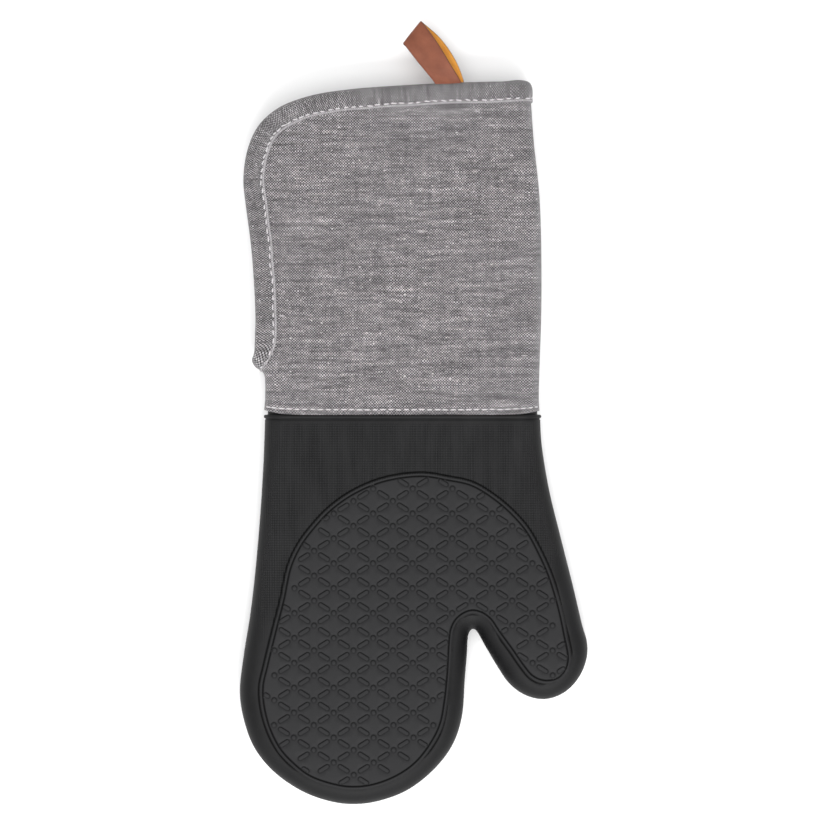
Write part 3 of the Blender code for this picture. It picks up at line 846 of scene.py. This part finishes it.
def suede_material(name, a, b):
    n = Nodes(name, a)
    u, v = n.uv()
    f = n.noise(n.vec(u, v), 2.6, 4.0, 0.7)
    g = n.noise(n.vec(n.math("MULTIPLY", u, 0.25), n.math("MULTIPLY", v, 0.2)), 1.0, 3.0)
    edge = n.attr("edge")
    c = n.mix(n.remap(n.math("ADD", n.math("MULTIPLY", f, 0.5), n.math("MULTIPLY", g, 0.5)), 0.32, 0.68, 0.0, 1.0), a, b)
    c = n.mix(n.math("MULTIPLY", edge, 0.6), c, tuple(x * 0.45 for x in a))
    n.put(n.b.inputs["Base Color"], c)
    n.put(n.b.inputs["Normal"], n.bump(f, 0.12))
    set_in(n.b, Roughness=0.85)
    n.b.inputs["Sheen Weight"].default_value = 0.35
    return n.m


def wadding_material():
    n = Nodes("wadding_white", (0.82, 0.81, 0.77))
    u, v = n.uv()
    f = n.noise(n.vec(u, v), 0.9, 6.0, 0.75)
    g = n.noise(n.vec(n.math("MULTIPLY", u, 0.1), n.math("MULTIPLY", v, 0.1)), 1.0, 3.0)
    n.put(n.b.inputs["Base Color"], n.mix(n.remap(f, 0.3, 0.7, 0.0, 1.0), (0.66, 0.65, 0.61), (0.90, 0.89, 0.86)))
    n.put(n.b.inputs["Normal"], n.bump(n.math("ADD", f, g), 0.5))
    set_in(n.b, Roughness=1.0)
    n.b.inputs["Sheen Weight"].default_value = 0.5
    return n.m


M_SIL = silicone_material()
M_CUFF = weave_material("chambray_grey", 0.72, (0.0036, 0.0033, 0.0035), (0.315, 0.300, 0.310), mottle=1.7)
M_TAPE = weave_material("chambray_tape", 0.86, (0.0045, 0.0041, 0.0044), (0.285, 0.272, 0.280), mottle=1.2, slub=0.9,
                        tall=0.70, edged=True)
M_LINE = weave_material("lining_charcoal", 0.42, (0.030, 0.029, 0.031), (0.075, 0.073, 0.077), mottle=0.6, slub=0.5,
                        bump=0.12)
M_THREAD = thread_material("thread_light", (0.64, 0.62, 0.635))
M_THREAD_D = thread_material("thread_dark", (0.06, 0.058, 0.062))
M_LEATHER = leather_material("leather_brown", (0.180, 0.052, 0.024), (0.135, 0.036, 0.016), (0.215, 0.068, 0.034))
M_AMBER = suede_material("amber_backing", (0.50, 0.19, 0.016), (0.66, 0.31, 0.040))
M_WAD = wadding_material()

# ------------------------------------------------------------------ silicone pieces
V, F, UV, PADV, PAINTED_GROOVE_SHADE = build_silicone()
ROOT = np.array([31.0, -110.0])
ALONG = np.array([math.cos(math.radians(25)), math.sin(math.radians(25))])
ACROSS = np.array([-ALONG[1], ALONG[0]])
T_START, T_END = 1.5, -24.0                     # along ACROSS from the root line


def thumb_side(p):
    """Points below the thumb's root line and right of the crotch."""
    q = p[:, :2] - ROOT
    return (q[:, 0] > 0.3) & (q @ ACROSS < T_START)


def silicone_pieces():
    edge_d = -np.array([core_near(x, y) for x, y in V[:, :2]])        # inwards from the round
    rib = (1 - PADV) * smoothstep(-9.0, -5.0, edge_d)
    rib = rib * smoothstep(-128.0, -88.0, V[:, 1]) * smoothstep(-3.6, -6.0, V[:, 1])
    rib = rib * np.where(V[:, 0] > 5, smoothstep(-88, -66, V[:, 1]), 1.0)
    # rim: 1 out on the rounded sides, where the colour gets painted shade
    rim = smoothstep(-2.5, -9.5, edge_d)
    whole = make("whole", V, F, None)
    nrm = np.empty(len(whole.data.vertices) * 3, np.float32)
    whole.data.vertex_normals.foreach_get("vector", nrm)
    nrm = nrm.reshape(-1, 3)
    bpy.data.objects.remove(whole)
    cen = np.array([V[list(f)].mean(0) for f in F])
    th = thumb_side(cen)
    out = []
    for name, pick in (("silicone_glove", ~th), ("silicone_glove_thumb", th)):
        f = [F[i] for i in np.nonzero(pick)[0]]
        v, f, (uv, pv, rb, nn, cv, rm) = drop_unused(V, f, [UV, PADV, rib, nrm, PAINTED_GROOVE_SHADE, rim])
        ob = make(name, v, f, M_SIL, uv, {"pad": pv, "rib": rb, "painted_groove_shade": cv, "rim": rm})
        ob.data.normals_split_custom_set_from_vertices([tuple(q) for q in nn.tolist()])
        out.append(ob)
    return out


glove, glove_thumb = silicone_pieces()


def blend_fingers(o):
    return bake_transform(o)


def blend_thumb(o):
    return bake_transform(o)


def blend_cuff(o):
    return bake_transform(o)


blend_fingers(glove)
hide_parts("silicone_hand", "silicone_fingers")
blend_thumb(glove_thumb)
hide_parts("silicone_thumb")

# ------------------------------------------------------------------ inside of the hand
def grid(x0, x1, y0, y1, step, rows=()):
    pts = [(x + (step / 2 if k % 2 else 0), y) for k, y in enumerate(np.arange(y0, y1, step * 0.87))
           for x in np.arange(x0, x1, step) if all(abs(y - r) > step * 0.5 for r in rows)]
    pts += [(x, r) for r in rows for x in np.arange(x0, x1, step)]
    return np.array(pts)


def quilt(x, y, pitch=24.0):
    """0 on the quilting lines, 1 between them."""
    a = np.abs(((x + y) / pitch) % 1.0 - 0.5) * pitch
    b = np.abs(((x - y) / pitch) % 1.0 - 0.5) * pitch
    return 1 - np.exp(-(np.minimum(a, b) / 2.6) ** 2)


def lumps(x, y, s=1):
    return 0.16 * np.sin(x / 3.1 + s) * np.sin(y / 3.7) + 0.08 * np.sin(x / 1.7 + y / 2.1)


def snap_rows(line, ys):
    """Moves the nearest point of the line, on each side, onto each height."""
    line = line.copy()
    mid = line[:, 0].mean()
    for y in ys:
        for side in (line[:, 0] < mid, line[:, 0] >= mid):
            idx = np.nonzero(side)[0]
            line[idx[np.argmin(np.abs(line[idx, 1] - y))], 1] = y
    return line


hand_core = snap_rows(resample(core, True, 2.2), [1.6])
hand_pts = grid(-90, 92, -206, 12, 3.4, rows=(1.6,))
T_MAIN = Tube(hand_core, 0.0, 5, hand_pts, lambda p: (p[:, 1] < 1.6) & ~thumb_side(p))
T_THUMB = Tube(hand_core, 0.0, 5, hand_pts, lambda p: (p[:, 1] < 1.6) & thumb_side(p))


def inner(name, T, h0, h1, sides, mat, nodes, blend, e0=None, e1=None, place=flat_place):
    v, f, uv = build(T, h0, h1, place, sides, e0, e1)
    ob = make(name, v, f, mat, uv)
    blend(ob)
    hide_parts(*nodes)
    return ob


for T, part, nodes, bl in ((T_MAIN, "", ("hand", "fingers"), blend_fingers), (T_THUMB, "_thumb", ("thumb",), blend_thumb)):
    for side, sg in (("front", 1), ("back", -1)):
        inner(f"hand_wadding{part}_{side}", T, BAT_O - 0.1, BAT_I + 0.15, (sg,), M_WAD,
                          [f"wadding_{n}_{side}" for n in nodes], bl,
                          lambda x, y, s: lumps(x, y) - 0.15, lambda x, y, s: lumps(x, y, 2))
    inner(f"hand_lining{part}", T, LIN_O - 0.1, LIN_I, (1, -1), M_LINE,
                      [f"lining_{n}_{s}" for n in nodes for s in ("front", "back")], bl,
                      None, lambda x, y, s: -0.9 * quilt(x, y))

# ------------------------------------------------------------------ cuff cloth
TUBE_V = [(66.7, -34), (66.7, 10), (68.1, 60), (67.2, 112), (64.0, 144), (62.3, 168), (60, 195),
          (40, 225), (-10, 240), (-60, 236), (-104, 215), (-124, 170), (-124, 110), (-118, 80),
          (-107, 62), (-97, 48), (-90, 38), (-86.2, 31), (-83.8, 26), (-81.3, 22.6), (-79.3, 20), (-78.8, 16), (-78.8, 8), (-78.8, -34),
          (-60, -68), (0, -84), (50, -68)]
HEM = -1.1
tube_sil = spline(TUBE_V, True, 0.5)
tube_core = resample(offset(tube_sil, -EDGE_R, True), True, 0.5)
for _ in range(4):
    tube_core = (np.roll(tube_core, 1, 0) + tube_core * 2 + np.roll(tube_core, -1, 0)) / 4
tube_near = Near(tube_core, True)
mouth = spline(MOUTH + [(-87, 27.4), (-110, 25), (-150, 24)], False, 0.5)
mouth_near = Near(mouth, False)


def mouth_area(inset):
    line = offset(mouth, -inset, False)
    return np.vstack([[[150, -60]], line, [[-150, -60]]])


def keep_cuff(inset, y0):
    poly = mouth_area(inset)
    return lambda p: (p[:, 1] > y0) & inside(poly, p)


_md = {}


def mouth_dist(x, y):
    out = np.empty(len(x))
    for i, (a, b) in enumerate(zip(x, y)):
        out[i] = -mouth_near(a, b)
    return out


def cloth_extra(x, y, s):
    """Slack of the outer cloth: slow swells, a dip along the seams and puckers running off them."""
    key = (len(x), float(x[0]), s > 0)
    if key not in _md:
        _md[key] = mouth_dist(x, y)
    d = _md[key]
    flat = 1.0 if s > 0 else 0.35
    w = (0.34 * np.sin(x / 24.0 + 0.6) * np.sin(y / 33.0 + 1.1) + 0.20 * np.sin(x / 13.0 + y / 21.0)
         + 0.10 * np.sin(x / 7.0 - y / 9.0 + 1.0)) * smoothstep(0, 22, y)
    near_hem = np.exp(-np.clip(y - 2.0, 0, None) / 7.0)
    w += near_hem * (0.13 * np.sin(2 * np.pi * x / 6.3 + 1.3 * np.sin(x / 9.0)) + 0.07 * np.sin(x * 1.9)) * smoothstep(1.0, 3.5, y)
    w -= 0.32 * np.exp(-((y - 1.75) / 0.75) ** 2)
    t = x * 0.8 + y
    near_tape = np.exp(-np.clip(d - 11.0, 0, None) / 6.0)
    w += near_tape * (0.16 * np.sin(2 * np.pi * t / 7.1 + 1.1 * np.sin(t / 11.0)) + 0.08 * np.sin(t * 1.7)) * smoothstep(9.0, 13.0, d)
    w -= 0.35 * np.exp(-((d - 11.0) / 1.6) ** 2)
    return w * flat


ROWS = [HEM, -0.4, 0.3, 0.9, 1.4, 1.75, 2.1, 2.7, 3.5, 4.5]
cuff_core = snap_rows(resample(tube_core, True, 1.5), [HEM, 0.3, 1.75, 3.5])
cuff_pts = grid(-100, 70, -8, 182, 1.75, rows=ROWS)
T_CUFF = Tube(cuff_core, 3.0, 9, cuff_pts, keep_cuff(2.6, HEM))
v, f, uv = build(T_CUFF, FAB, FAB - 0.75, cuff_place, (1, -1), cloth_extra, cloth_extra, 0.8)


def hem_bow(v):
    """The hem climbs a little towards each side."""
    x = (v[:, 0] + 5.8) / 73.0
    v[:, 1] += 2.0 * np.clip(np.abs(x), 0, 1.05) ** 8 * smoothstep(9.0, 1.5, v[:, 1])
    return v


cuff_cloth = make("cuff_cloth", hem_bow(v), f, M_CUFF, uv)
blend_cuff(cuff_cloth)
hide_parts("cuff_fabric_front", "cuff_fabric_back")

lin_core = snap_rows(resample(tube_core, True, 2.6), [1.6])
lin_pts = grid(-100, 70, -8, 182, 2.2, rows=(1.6,))
T_LIN = Tube(lin_core, 0.0, 6, lin_pts, keep_cuff(1.6, 1.6))
inner("cuff_lining", T_LIN, LIN_O - 0.1, LIN_I, (1, -1), M_LINE, ["cuff_lining_front", "cuff_lining_back"],
                  blend_cuff, None, lambda x, y, s: -0.9 * quilt(x, y), cuff_place)
wad_pts = grid(-100, 70, -8, 182, 4.0)
T_CW = Tube(lin_core, 0.0, 5, wad_pts, keep_cuff(6.0, 6.6))
for side, sg in (("front", 1), ("back", -1)):
    inner(f"cuff_wadding_{side}_pad", T_CW, CBAT_O - 0.35, CBAT_I + 0.15, (sg,), M_WAD,
                      [f"cuff_wadding_{side}"], blend_cuff, lambda x, y, s: lumps(x, y) - 0.2,
                      lambda x, y, s: lumps(x, y, 2), cuff_place)

# ------------------------------------------------------------------ binding round the mouth
BH, BR = 8.85, 7.85                       # middle of the bound edge, and the radius it turns on


def mouth_path():
    """Middle line of the bound edge in tube space, with each point's normal and edge direction."""
    e = np.array([tube_near(x, y) for x, y in mouth])
    ok = np.nonzero(e <= BR)[0]
    lo, hi = ok[0], ok[-1]
    P, N, B = [], [], []
    nm = normals2(mouth, False)
    for i in range(lo, hi + 1):
        ee = max(0.0, e[i])
        _, k, _ = tube_near.t.find((mouth[i][0], mouth[i][1], 0))
        sn = ee / BR
        n = Vector((tube_near.n[k][0] * sn, tube_near.n[k][1] * sn, math.sqrt(max(0, 1 - sn * sn))))
        b = Vector((nm[i][0], nm[i][1], 0))
        b = (b - n * b.dot(n)).normalized()
        P.append((mouth[i][0], mouth[i][1], 1 + math.sqrt(max(0, BR * BR - ee * ee))))
        N.append(tuple(n))
        B.append(tuple(b))
    P, N, B = np.array(P), np.array(N), np.array(B)
    flip = np.array([1, 1, -1])
    P, N, B = np.vstack([P, (P * flip)[::-1]]), np.vstack([N, (N * flip)[::-1]]), np.vstack([B, (B * flip)[::-1]])
    P[:, 1] += 0.8 * np.exp(-((P[:, 0] - 55.5) / 5.0) ** 2)      # the tape's ends meet in a small lump here
    both = resample(np.hstack([P, N, B]), True, 0.8)
    for _ in range(6):                    # eases the two turns
        both[:, 3:] = (np.roll(both[:, 3:], 1, 0) + both[:, 3:] * 2 + np.roll(both[:, 3:], -1, 0)) / 4
    P, N, B = both[:, :3], both[:, 3:6], both[:, 6:]
    N = N / np.linalg.norm(N, axis=1)[:, None]
    B = B - N * (B * N).sum(1)[:, None]
    B = B / np.linalg.norm(B, axis=1)[:, None]
    return P, N, B


PATH, PN, PB = mouth_path()
SEG = np.linalg.norm(np.roll(PATH, -1, 0) - PATH, axis=1)
PS = np.concatenate([[0], np.cumsum(SEG)[:-1]])
PERIM = SEG.sum()
# how far round the slit's lower end a point is: 1 at the side seam there
SLIT_END = np.exp(-((PATH[:, 1] - 28.5) / 7.0) ** 2) * (PATH[:, 1] < 60)
WIDE = 1 - 0.22 * SLIT_END
SECTION = [(11.55, 2.35), (11.6, 2.85), (11.45, 3.2), (11.0, 3.38), (10.4, 3.36), (9.9, 3.12), (9.55, 2.98), (9.2, 3.1),
           (8.6, 3.42), (7.6, 3.66), (6.2, 3.80), (4.6, 3.84), (3.2, 3.70), (2.1, 3.36), (1.2, 2.78), (0.55, 1.98),
           (0.15, 1.05), (0.0, 0.0), (0.15, -1.05), (0.55, -1.95), (1.2, -2.65), (2.1, -3.1), (3.2, -3.38), (4.6, -3.5),
           (6.2, -3.46), (7.6, -3.32), (8.6, -3.1), (9.2, -2.85), (9.55, -2.72), (9.9, -2.84), (10.4, -3.05),
           (11.0, -3.08), (11.45, -2.9), (11.6, -2.6), (11.5, -2.2), (10.4, -2.15), (8.0, -2.3), (5.0, -2.5), (2.8, -2.0),
           (1.6, 0.0), (2.8, 2.0), (5.0, 2.5), (8.0, 2.3), (10.4, 2.25)]


def tape_wave(s, w, q):
    """Unevenness of the tape: scallops between stitches, bias ripples, a wavering fold."""
    up = np.sign(q) * np.clip(np.abs(q) - 1.0, 0, 1)
    st = 2 * np.pi * s / STITCH
    dq = up * (-0.26 * np.cos(st) * np.exp(-((w - 9.6) / 1.3) ** 2)
               + 0.22 * np.sin(2 * np.pi * s / 8.8 + 0.8 * np.sin(s / 13.0)) * np.exp(-((w - 6.0) / 3.4) ** 2)
               + 0.12 * np.sin(s / 5.3 + 1.0) * np.sin(w / 2.2))
    dw = 0.14 * np.sin(s / 4.1 + 1.2 * np.sin(s / 17.0)) + 0.10 * np.sin(s / 9.7)
    return dw, dq


n_st = round(PERIM / 4.35)
STITCH = PERIM / n_st


def on_cuff(p):
    """Nearest place and its normal on the middle surface of the bound edge."""
    x, y, z = p
    e = tube_near(x, y)
    if e > 0:
        _, k, _ = tube_near.t.find((x, y, 0))
        q = np.array([x - tube_near.n[k][0] * e, y - tube_near.n[k][1] * e, min(1.0, max(-1.0, z))])
    else:
        q = np.array([x, y, 1.0 if z > 0 else -1.0])
    n = p - q
    n = n / np.linalg.norm(n)
    return q + n * BR, n


def walk(i, far=13.0, step=1.0):
    """Follows the cuff's surface inwards from the edge: places and normals every step."""
    p, n = on_cuff(PATH[i])
    d = -PB[i]
    P, N = [PATH[i]], [PN[i]]
    for k in range(int(far / step)):
        d = d - n * (d @ n)
        d = d / np.linalg.norm(d)
        p, n = on_cuff(p + d * step)
        P.append(p)
        N.append(n)
    return np.array(P), np.array(N)


WALK = [walk(i) for i in range(len(PATH))]
WP, WN = np.array([a for a, b in WALK]), np.array([b for a, b in WALK])
for _ in range(4):
    WP = (np.roll(WP, 1, 0) + WP * 2 + np.roll(WP, -1, 0)) / 4
    WN = (np.roll(WN, 1, 0) + WN * 2 + np.roll(WN, -1, 0)) / 4
    WP[:, 1:-1] = (WP[:, :-2] + WP[:, 1:-1] * 2 + WP[:, 2:]) / 4
    WN[:, 1:-1] = (WN[:, :-2] + WN[:, 1:-1] * 2 + WN[:, 2:]) / 4
WN = WN / np.linalg.norm(WN, axis=2)[:, :, None]


def tape_point(i, w, q):
    dw, dq = tape_wave(PS[i], w, q)
    w = max(0.0, (w + dw * min(1.0, w / 3.0)) * WIDE[i])
    k = min(int(w), WP.shape[1] - 2)
    t = w - k
    return WP[i, k] * (1 - t) + WP[i, k + 1] * t + (WN[i, k] * (1 - t) + WN[i, k + 1] * t) * (q + dq)


def build_tape():
    sec = np.array(SECTION)
    d = np.linalg.norm(np.roll(sec, -1, 0) - sec, axis=1)
    arc = np.concatenate([[0], np.cumsum(d)])
    n, m = len(PATH), len(sec)
    verts, uv, faces = [], [], []
    for i in range(n):
        for k, (w, q) in enumerate(sec):
            verts.append(tape_point(i, w, q))
            uv.append((arc[k], PS[i]))
    for i in range(n):
        j = (i + 1) % n
        for k in range(m):
            l = (k + 1) % m
            faces.append((i * m + k, i * m + l, j * m + l, j * m + k))
    # a seam in the cloth coordinates where the loop closes and where the section does
    # edge: 1 on the crest of the fold (lightened for wear and as painted highlight), -1 on its outer face (painted
    # shade), 0 elsewhere
    edge = [1.0 if 10.2 < w < 11.3 and abs(q) > 2.8 else (-1.0 if w >= 11.45 and abs(q) < 3.1 else 0.0) for w, q in sec]
    ob = make("binding_tape", cuff_place(np.array(verts), 1), faces, M_TAPE, np.array(uv),
              {"edge": np.array(edge * n, float)})
    lay = ob.data.uv_layers["cloth"].data
    for p in ob.data.polygons:
        vs = [ob.data.loops[q].vertex_index for q in p.loop_indices]
        ii, kk = [a // m for a in vs], [a % m for a in vs]
        for q, a, b in zip(p.loop_indices, ii, kk):
            u, v = arc[b], PS[a]
            if max(ii) == n - 1 and min(ii) == 0 and a == 0:
                v = PERIM
            if max(kk) == m - 1 and min(kk) == 0 and b == 0:
                u = arc[m]
            lay[q].uv = (u, v)
    return outward(ob)


tape = build_tape()
blend_cuff(tape)
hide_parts("edge_binding")


# ------------------------------------------------------------------ stitches
def stitch_mesh(spots, rad, name, mat):
    """spots: (middle, along, up, length); each is a thread that rises from the cloth and dives back."""
    verts, faces, uv = [], [], []
    R, C = 9, 8
    for c, t, up, ln in spots:
        c, t, up = np.array(c), np.array(t), np.array(up)
        t = t / np.linalg.norm(t)
        up = up - t * (up @ t)
        up = up / np.linalg.norm(up)
        sd = np.cross(up, t)
        b0 = len(verts)
        for i in range(R):
            a = -1 + 2 * i / (R - 1)
            lift = rad * 1.15 * (1 - abs(a) ** 3.2) - rad * 0.75
            r = rad * (1.0 - 0.62 * abs(a) ** 5)
            p = c + t * (a * ln / 2) + up * lift
            for k in range(C):
                w = 2 * math.pi * k / C
                verts.append(p + sd * (r * math.cos(w)) + up * (r * 0.85 * math.sin(w)))
                uv.append((a * ln / 2 + b0 * 0.37, rad * w))
        for i in range(R - 1):
            for k in range(C):
                l = (k + 1) % C
                faces.append((b0 + i * C + k, b0 + i * C + l, b0 + (i + 1) * C + l, b0 + (i + 1) * C + k))
        faces.append(tuple(b0 + k for k in range(C))[::-1])
        faces.append(tuple(b0 + (R - 1) * C + k for k in range(C)))
    return outward(make(name, np.array(verts), faces, mat, np.array(uv)))


def tape_stitches(front):
    spots = []
    for j in range(n_st):
        s = (j + 0.5) * STITCH
        i = int(np.searchsorted(PS, s)) % len(PS)
        i2 = (i + 1) % len(PS)
        if (PATH[i][2] >= 0) != front:
            continue
        for w, q in ((9.6, 3.06), (9.6, -2.80)):
            a = tape_point(i, w, q)
            b = tape_point(i2, w, q)
            jit = rng.uniform(-0.12, 0.30)
            t = b - a
            t = t / np.linalg.norm(t) + PB[i] * jit
            pos = a + (b - a) * ((s - PS[i - 1] if i else s) / max(SEG[i - 1], 1e-6)) * 0
            spots.append([pos + PB[i] * rng.uniform(-0.22, 0.22), t, WN[i, 8] * np.sign(q), 3.1 + rng.uniform(-0.7, 0.35)])
    return spots


def placed(spots):
    """Takes stitches from tube space to the row frame."""
    out = []
    for c, t, up, ln in spots:
        p = cuff_place(np.array([c, c + np.asarray(t) * 0.5, c + np.asarray(up) * 0.5]), 1)
        out.append((p[0], p[1] - p[0], p[2] - p[0], ln))
    return out


for side, fr in (("front", True), ("back", False)):
    st = stitch_mesh(placed(tape_stitches(fr)), 0.34, f"binding_stitches_{side}", M_THREAD)
    blend_cuff(st)
    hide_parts(f"binding_thread_{side}")


def hem_stitches(sg):
    spots = []
    y = 1.75
    xs = np.arange(-77.5, 66.5, 0.25)
    e = np.array([max(0.0, tube_near(x, y)) for x in xs])
    r = FAB - 1.0
    z = 1 + np.sqrt(np.clip(r * r - e * e, 0, None))
    ex = cloth_extra(xs, np.full(len(xs), y), 5 * sg)
    pts = np.stack([xs, np.full(len(xs), y), z + ex * np.clip(1 - e / r, 0, 1)], axis=1)
    pts = hem_bow(pts)
    line = resample(pts[(z > 2.0)], False, 0.2)
    seg = np.linalg.norm(np.diff(line, axis=0), axis=1)
    s = np.concatenate([[0], np.cumsum(seg)])
    t = 2.0
    while t < s[-1] - 2:
        i = int(np.searchsorted(s, t))
        d = line[min(i + 4, len(line) - 1)] - line[i - 4]
        up = np.array([-d[2], 0, d[0]])
        c = line[i] + np.array([0, rng.uniform(-0.1, 0.1), 0]) + up / np.linalg.norm(up) * 0.10
        f = np.array([1, 1, sg])
        spots.append((c * f, (d + np.array([0, rng.uniform(-0.06, 0.06), 0])) * f, up * f, 3.0 + rng.uniform(-0.45, 0.35)))
        t += 4.1
    return spots


for side, sg in (("front", 1), ("back", -1)):
    st = stitch_mesh(placed(hem_stitches(sg)), 0.34, f"hem_stitches_{side}", M_THREAD)
    blend_cuff(st)
    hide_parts(f"hem_thread_{side}")

# ------------------------------------------------------------------ hanging loop
ZC = MID - MOUTH_DROP + (CBAT_O + CBAT_I) / 2 * MOUTH_K
LOOP_LEFT = [(14.6, 167.5, 1.0), (11.2, 173.2, 1.2), (9.4, 175.7, 1.5), (6.8, 178.9, 2.0), (3.0, 183.4, 2.6), (-1.2, 188.7, 2.8),
             (-4.4, 193.0, 1.7), (-5.2, 194.0, 0.2), (-4.4, 193.0, -1.3), (2.0, 188.4, -3.4),
             (6.4, 183.8, -4.0), (9.2, 179.6, -3.1), (11.4, 175.7, -1.5), (12.8, 173.2, -1.2), (15.6, 167.5, -1.0)]
LOOP_RIGHT = [(27.8, 167.5, 1.0), (25.3, 173.0, 1.25), (23.8, 176.0, 1.8), (19.9, 182.0, 5.0), (14.8, 190.6, 5.6), (9.6, 198.5, 4.4),
              (4.9, 204.9, 2.3), (4.2, 205.6, 0.8), (5.3, 204.9, -0.7), (12.8, 198.6, -2.8),
              (18.3, 191.9, -3.4), (23.1, 183.7, -2.8), (26.0, 176.0, -1.5), (26.8, 173.0, -1.2), (29.2, 167.5, -1.0)]


def rail(points, cuts=6):
    pts = [np.array(p) + [0, 0, ZC] for p in points]
    out = []
    for i in range(len(pts) - 1):
        p1, p2 = pts[i], pts[i + 1]
        p0 = pts[i - 1] if i else p1 * 2 - p2
        p3 = pts[i + 2] if i + 2 < len(pts) else p2 * 2 - p1
        for k in range(cuts):
            t = k / cuts
            out.append(p1 + (p2 - p0) * (t / 2) + (p0 * 2 - p1 * 5 + p2 * 4 - p3) * (t * t / 2)
                       + (p3 - p0 + (p1 - p2) * 3) * (t ** 3 / 2))
    out.append(pts[-1])
    return np.array(out)


def strap(name, d0, d1, inset, mat, cols=14):
    """A flat strip between depths d0 and d1 into the loop, with rounded long edges."""
    L, R = rail(LOOP_LEFT), rail(LOOP_RIGHT)
    n = len(L)
    width = np.linalg.norm(R - L, axis=1)
    prof = []
    th = (d1 - d0) / 2
    md = (d0 + d1) / 2
    for k in range(cols + 1):                       # outer face
        prof.append((inset + (1 - 2 * inset) * k / cols, -th, 0))
    prof.append((1 - inset + 0.018, -th * 0.55, 1))
    prof.append((1 - inset + 0.024, 0, 1))
    prof.append((1 - inset + 0.018, th * 0.55, 1))
    for k in range(cols, -1, -1):
        prof.append((inset + (1 - 2 * inset) * k / cols, th, 0))
    prof.append((inset - 0.018, th * 0.55, 1))
    prof.append((inset - 0.024, 0, 1))
    prof.append((inset - 0.018, -th * 0.55, 1))
    m = len(prof)
    verts, uv, edge = [], [], []
    s = 0.0
    mids = (L + R) / 2
    for i in range(n):
        a, b = mids[max(i - 1, 0)], mids[min(i + 1, n - 1)]
        if i:
            s += np.linalg.norm(mids[i] - mids[i - 1])
        inw = np.cross(b - a, R[i] - L[i])
        inw /= np.linalg.norm(inw)
        for f, t, e in prof:
            crown = -0.25 * (1 - (2 * min(max(f, 0), 1) - 1) ** 2)     # the strap is slightly cupped
            verts.append(L[i] + (R[i] - L[i]) * f + inw * (md + t + crown * 0.6))
            uv.append((f * 15.0, s))
            edge.append(e)
    faces = [(i * m + k, i * m + (k + 1) % m, (i + 1) * m + (k + 1) % m, (i + 1) * m + k)
             for i in range(n - 1) for k in range(m)]
    faces += [tuple(range(m))[::-1], tuple((n - 1) * m + k for k in range(m))]
    ob = outward(make(name, np.array(verts), faces, mat, np.array(uv), {"edge": np.array(edge, float)}))
    return ob


def blend_loop(o):
    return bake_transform(o)


lea = strap("hanging_loop", -0.5, 0.5, 0.02, M_LEATHER)
blend_loop(lea)
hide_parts("loop_leather", "loop_sewn_ends")
amb = strap("hanging_loop_backing", 0.5, 0.95, 0.03, M_AMBER)
blend_loop(amb)
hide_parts("loop_backing")

# ------------------------------------------------------------------ stage
def stage_and_camera():
    me = bpy.data.meshes.new("floor")
    s = 6.0
    me.from_pydata([(-s, -s, 0), (s, -s, 0), (s, s, 0), (-s, s, 0)], [], [(0, 1, 2, 3)])
    fl = bpy.data.objects.new("floor", me)
    bpy.context.scene.collection.objects.link(fl)
    n = Nodes("floor_white", (0.93, 0.93, 0.93))
    set_in(n.b, Roughness=0.9)
    n.b.inputs["Specular IOR Level"].default_value = 0.1
    me.materials.append(n.m)
    w = bpy.data.worlds.new("studio")
    w.use_nodes = True
    w.node_tree.nodes["Background"].inputs[0].default_value = (1, 1, 1, 1)
    w.node_tree.nodes["Background"].inputs[1].default_value = 0.82
    bpy.context.scene.world = w

    def area(name, loc, target, size, power):
        li = bpy.data.lights.new(name, "AREA")
        li.shape = "RECTANGLE"
        li.size, li.size_y = size
        li.energy = power
        o = bpy.data.objects.new(name, li)
        bpy.context.scene.collection.objects.link(o)
        o.location = loc
        d = Vector(target) - Vector(loc)
        o.rotation_euler = d.to_track_quat("-Z", "Y").to_euler()
        return o

    area("key_low", (0.2, -2.0, 2.1), (0, 0, 0), (2.4, 1.2), 78)
    area("top_soft", (0, 0.1, 3.0), (0, 0, 0), (3.0, 3.0), 46)
    cam = bpy.data.cameras.new("camera")
    cam.lens, cam.sensor_width = 200, 36
    co = bpy.data.objects.new("camera", cam)
    bpy.context.scene.collection.objects.link(co)
    co.location = (0.0008, -0.00105, MID * MM + 0.4374 * 200 / 36)
    co.rotation_euler = (0, 0, 0)
    cam.clip_end = 50
    bpy.context.scene.camera = co
    bpy.context.scene.view_settings.view_transform = "Standard"
    bpy.context.scene.view_settings.look = "None"


stage_and_camera()
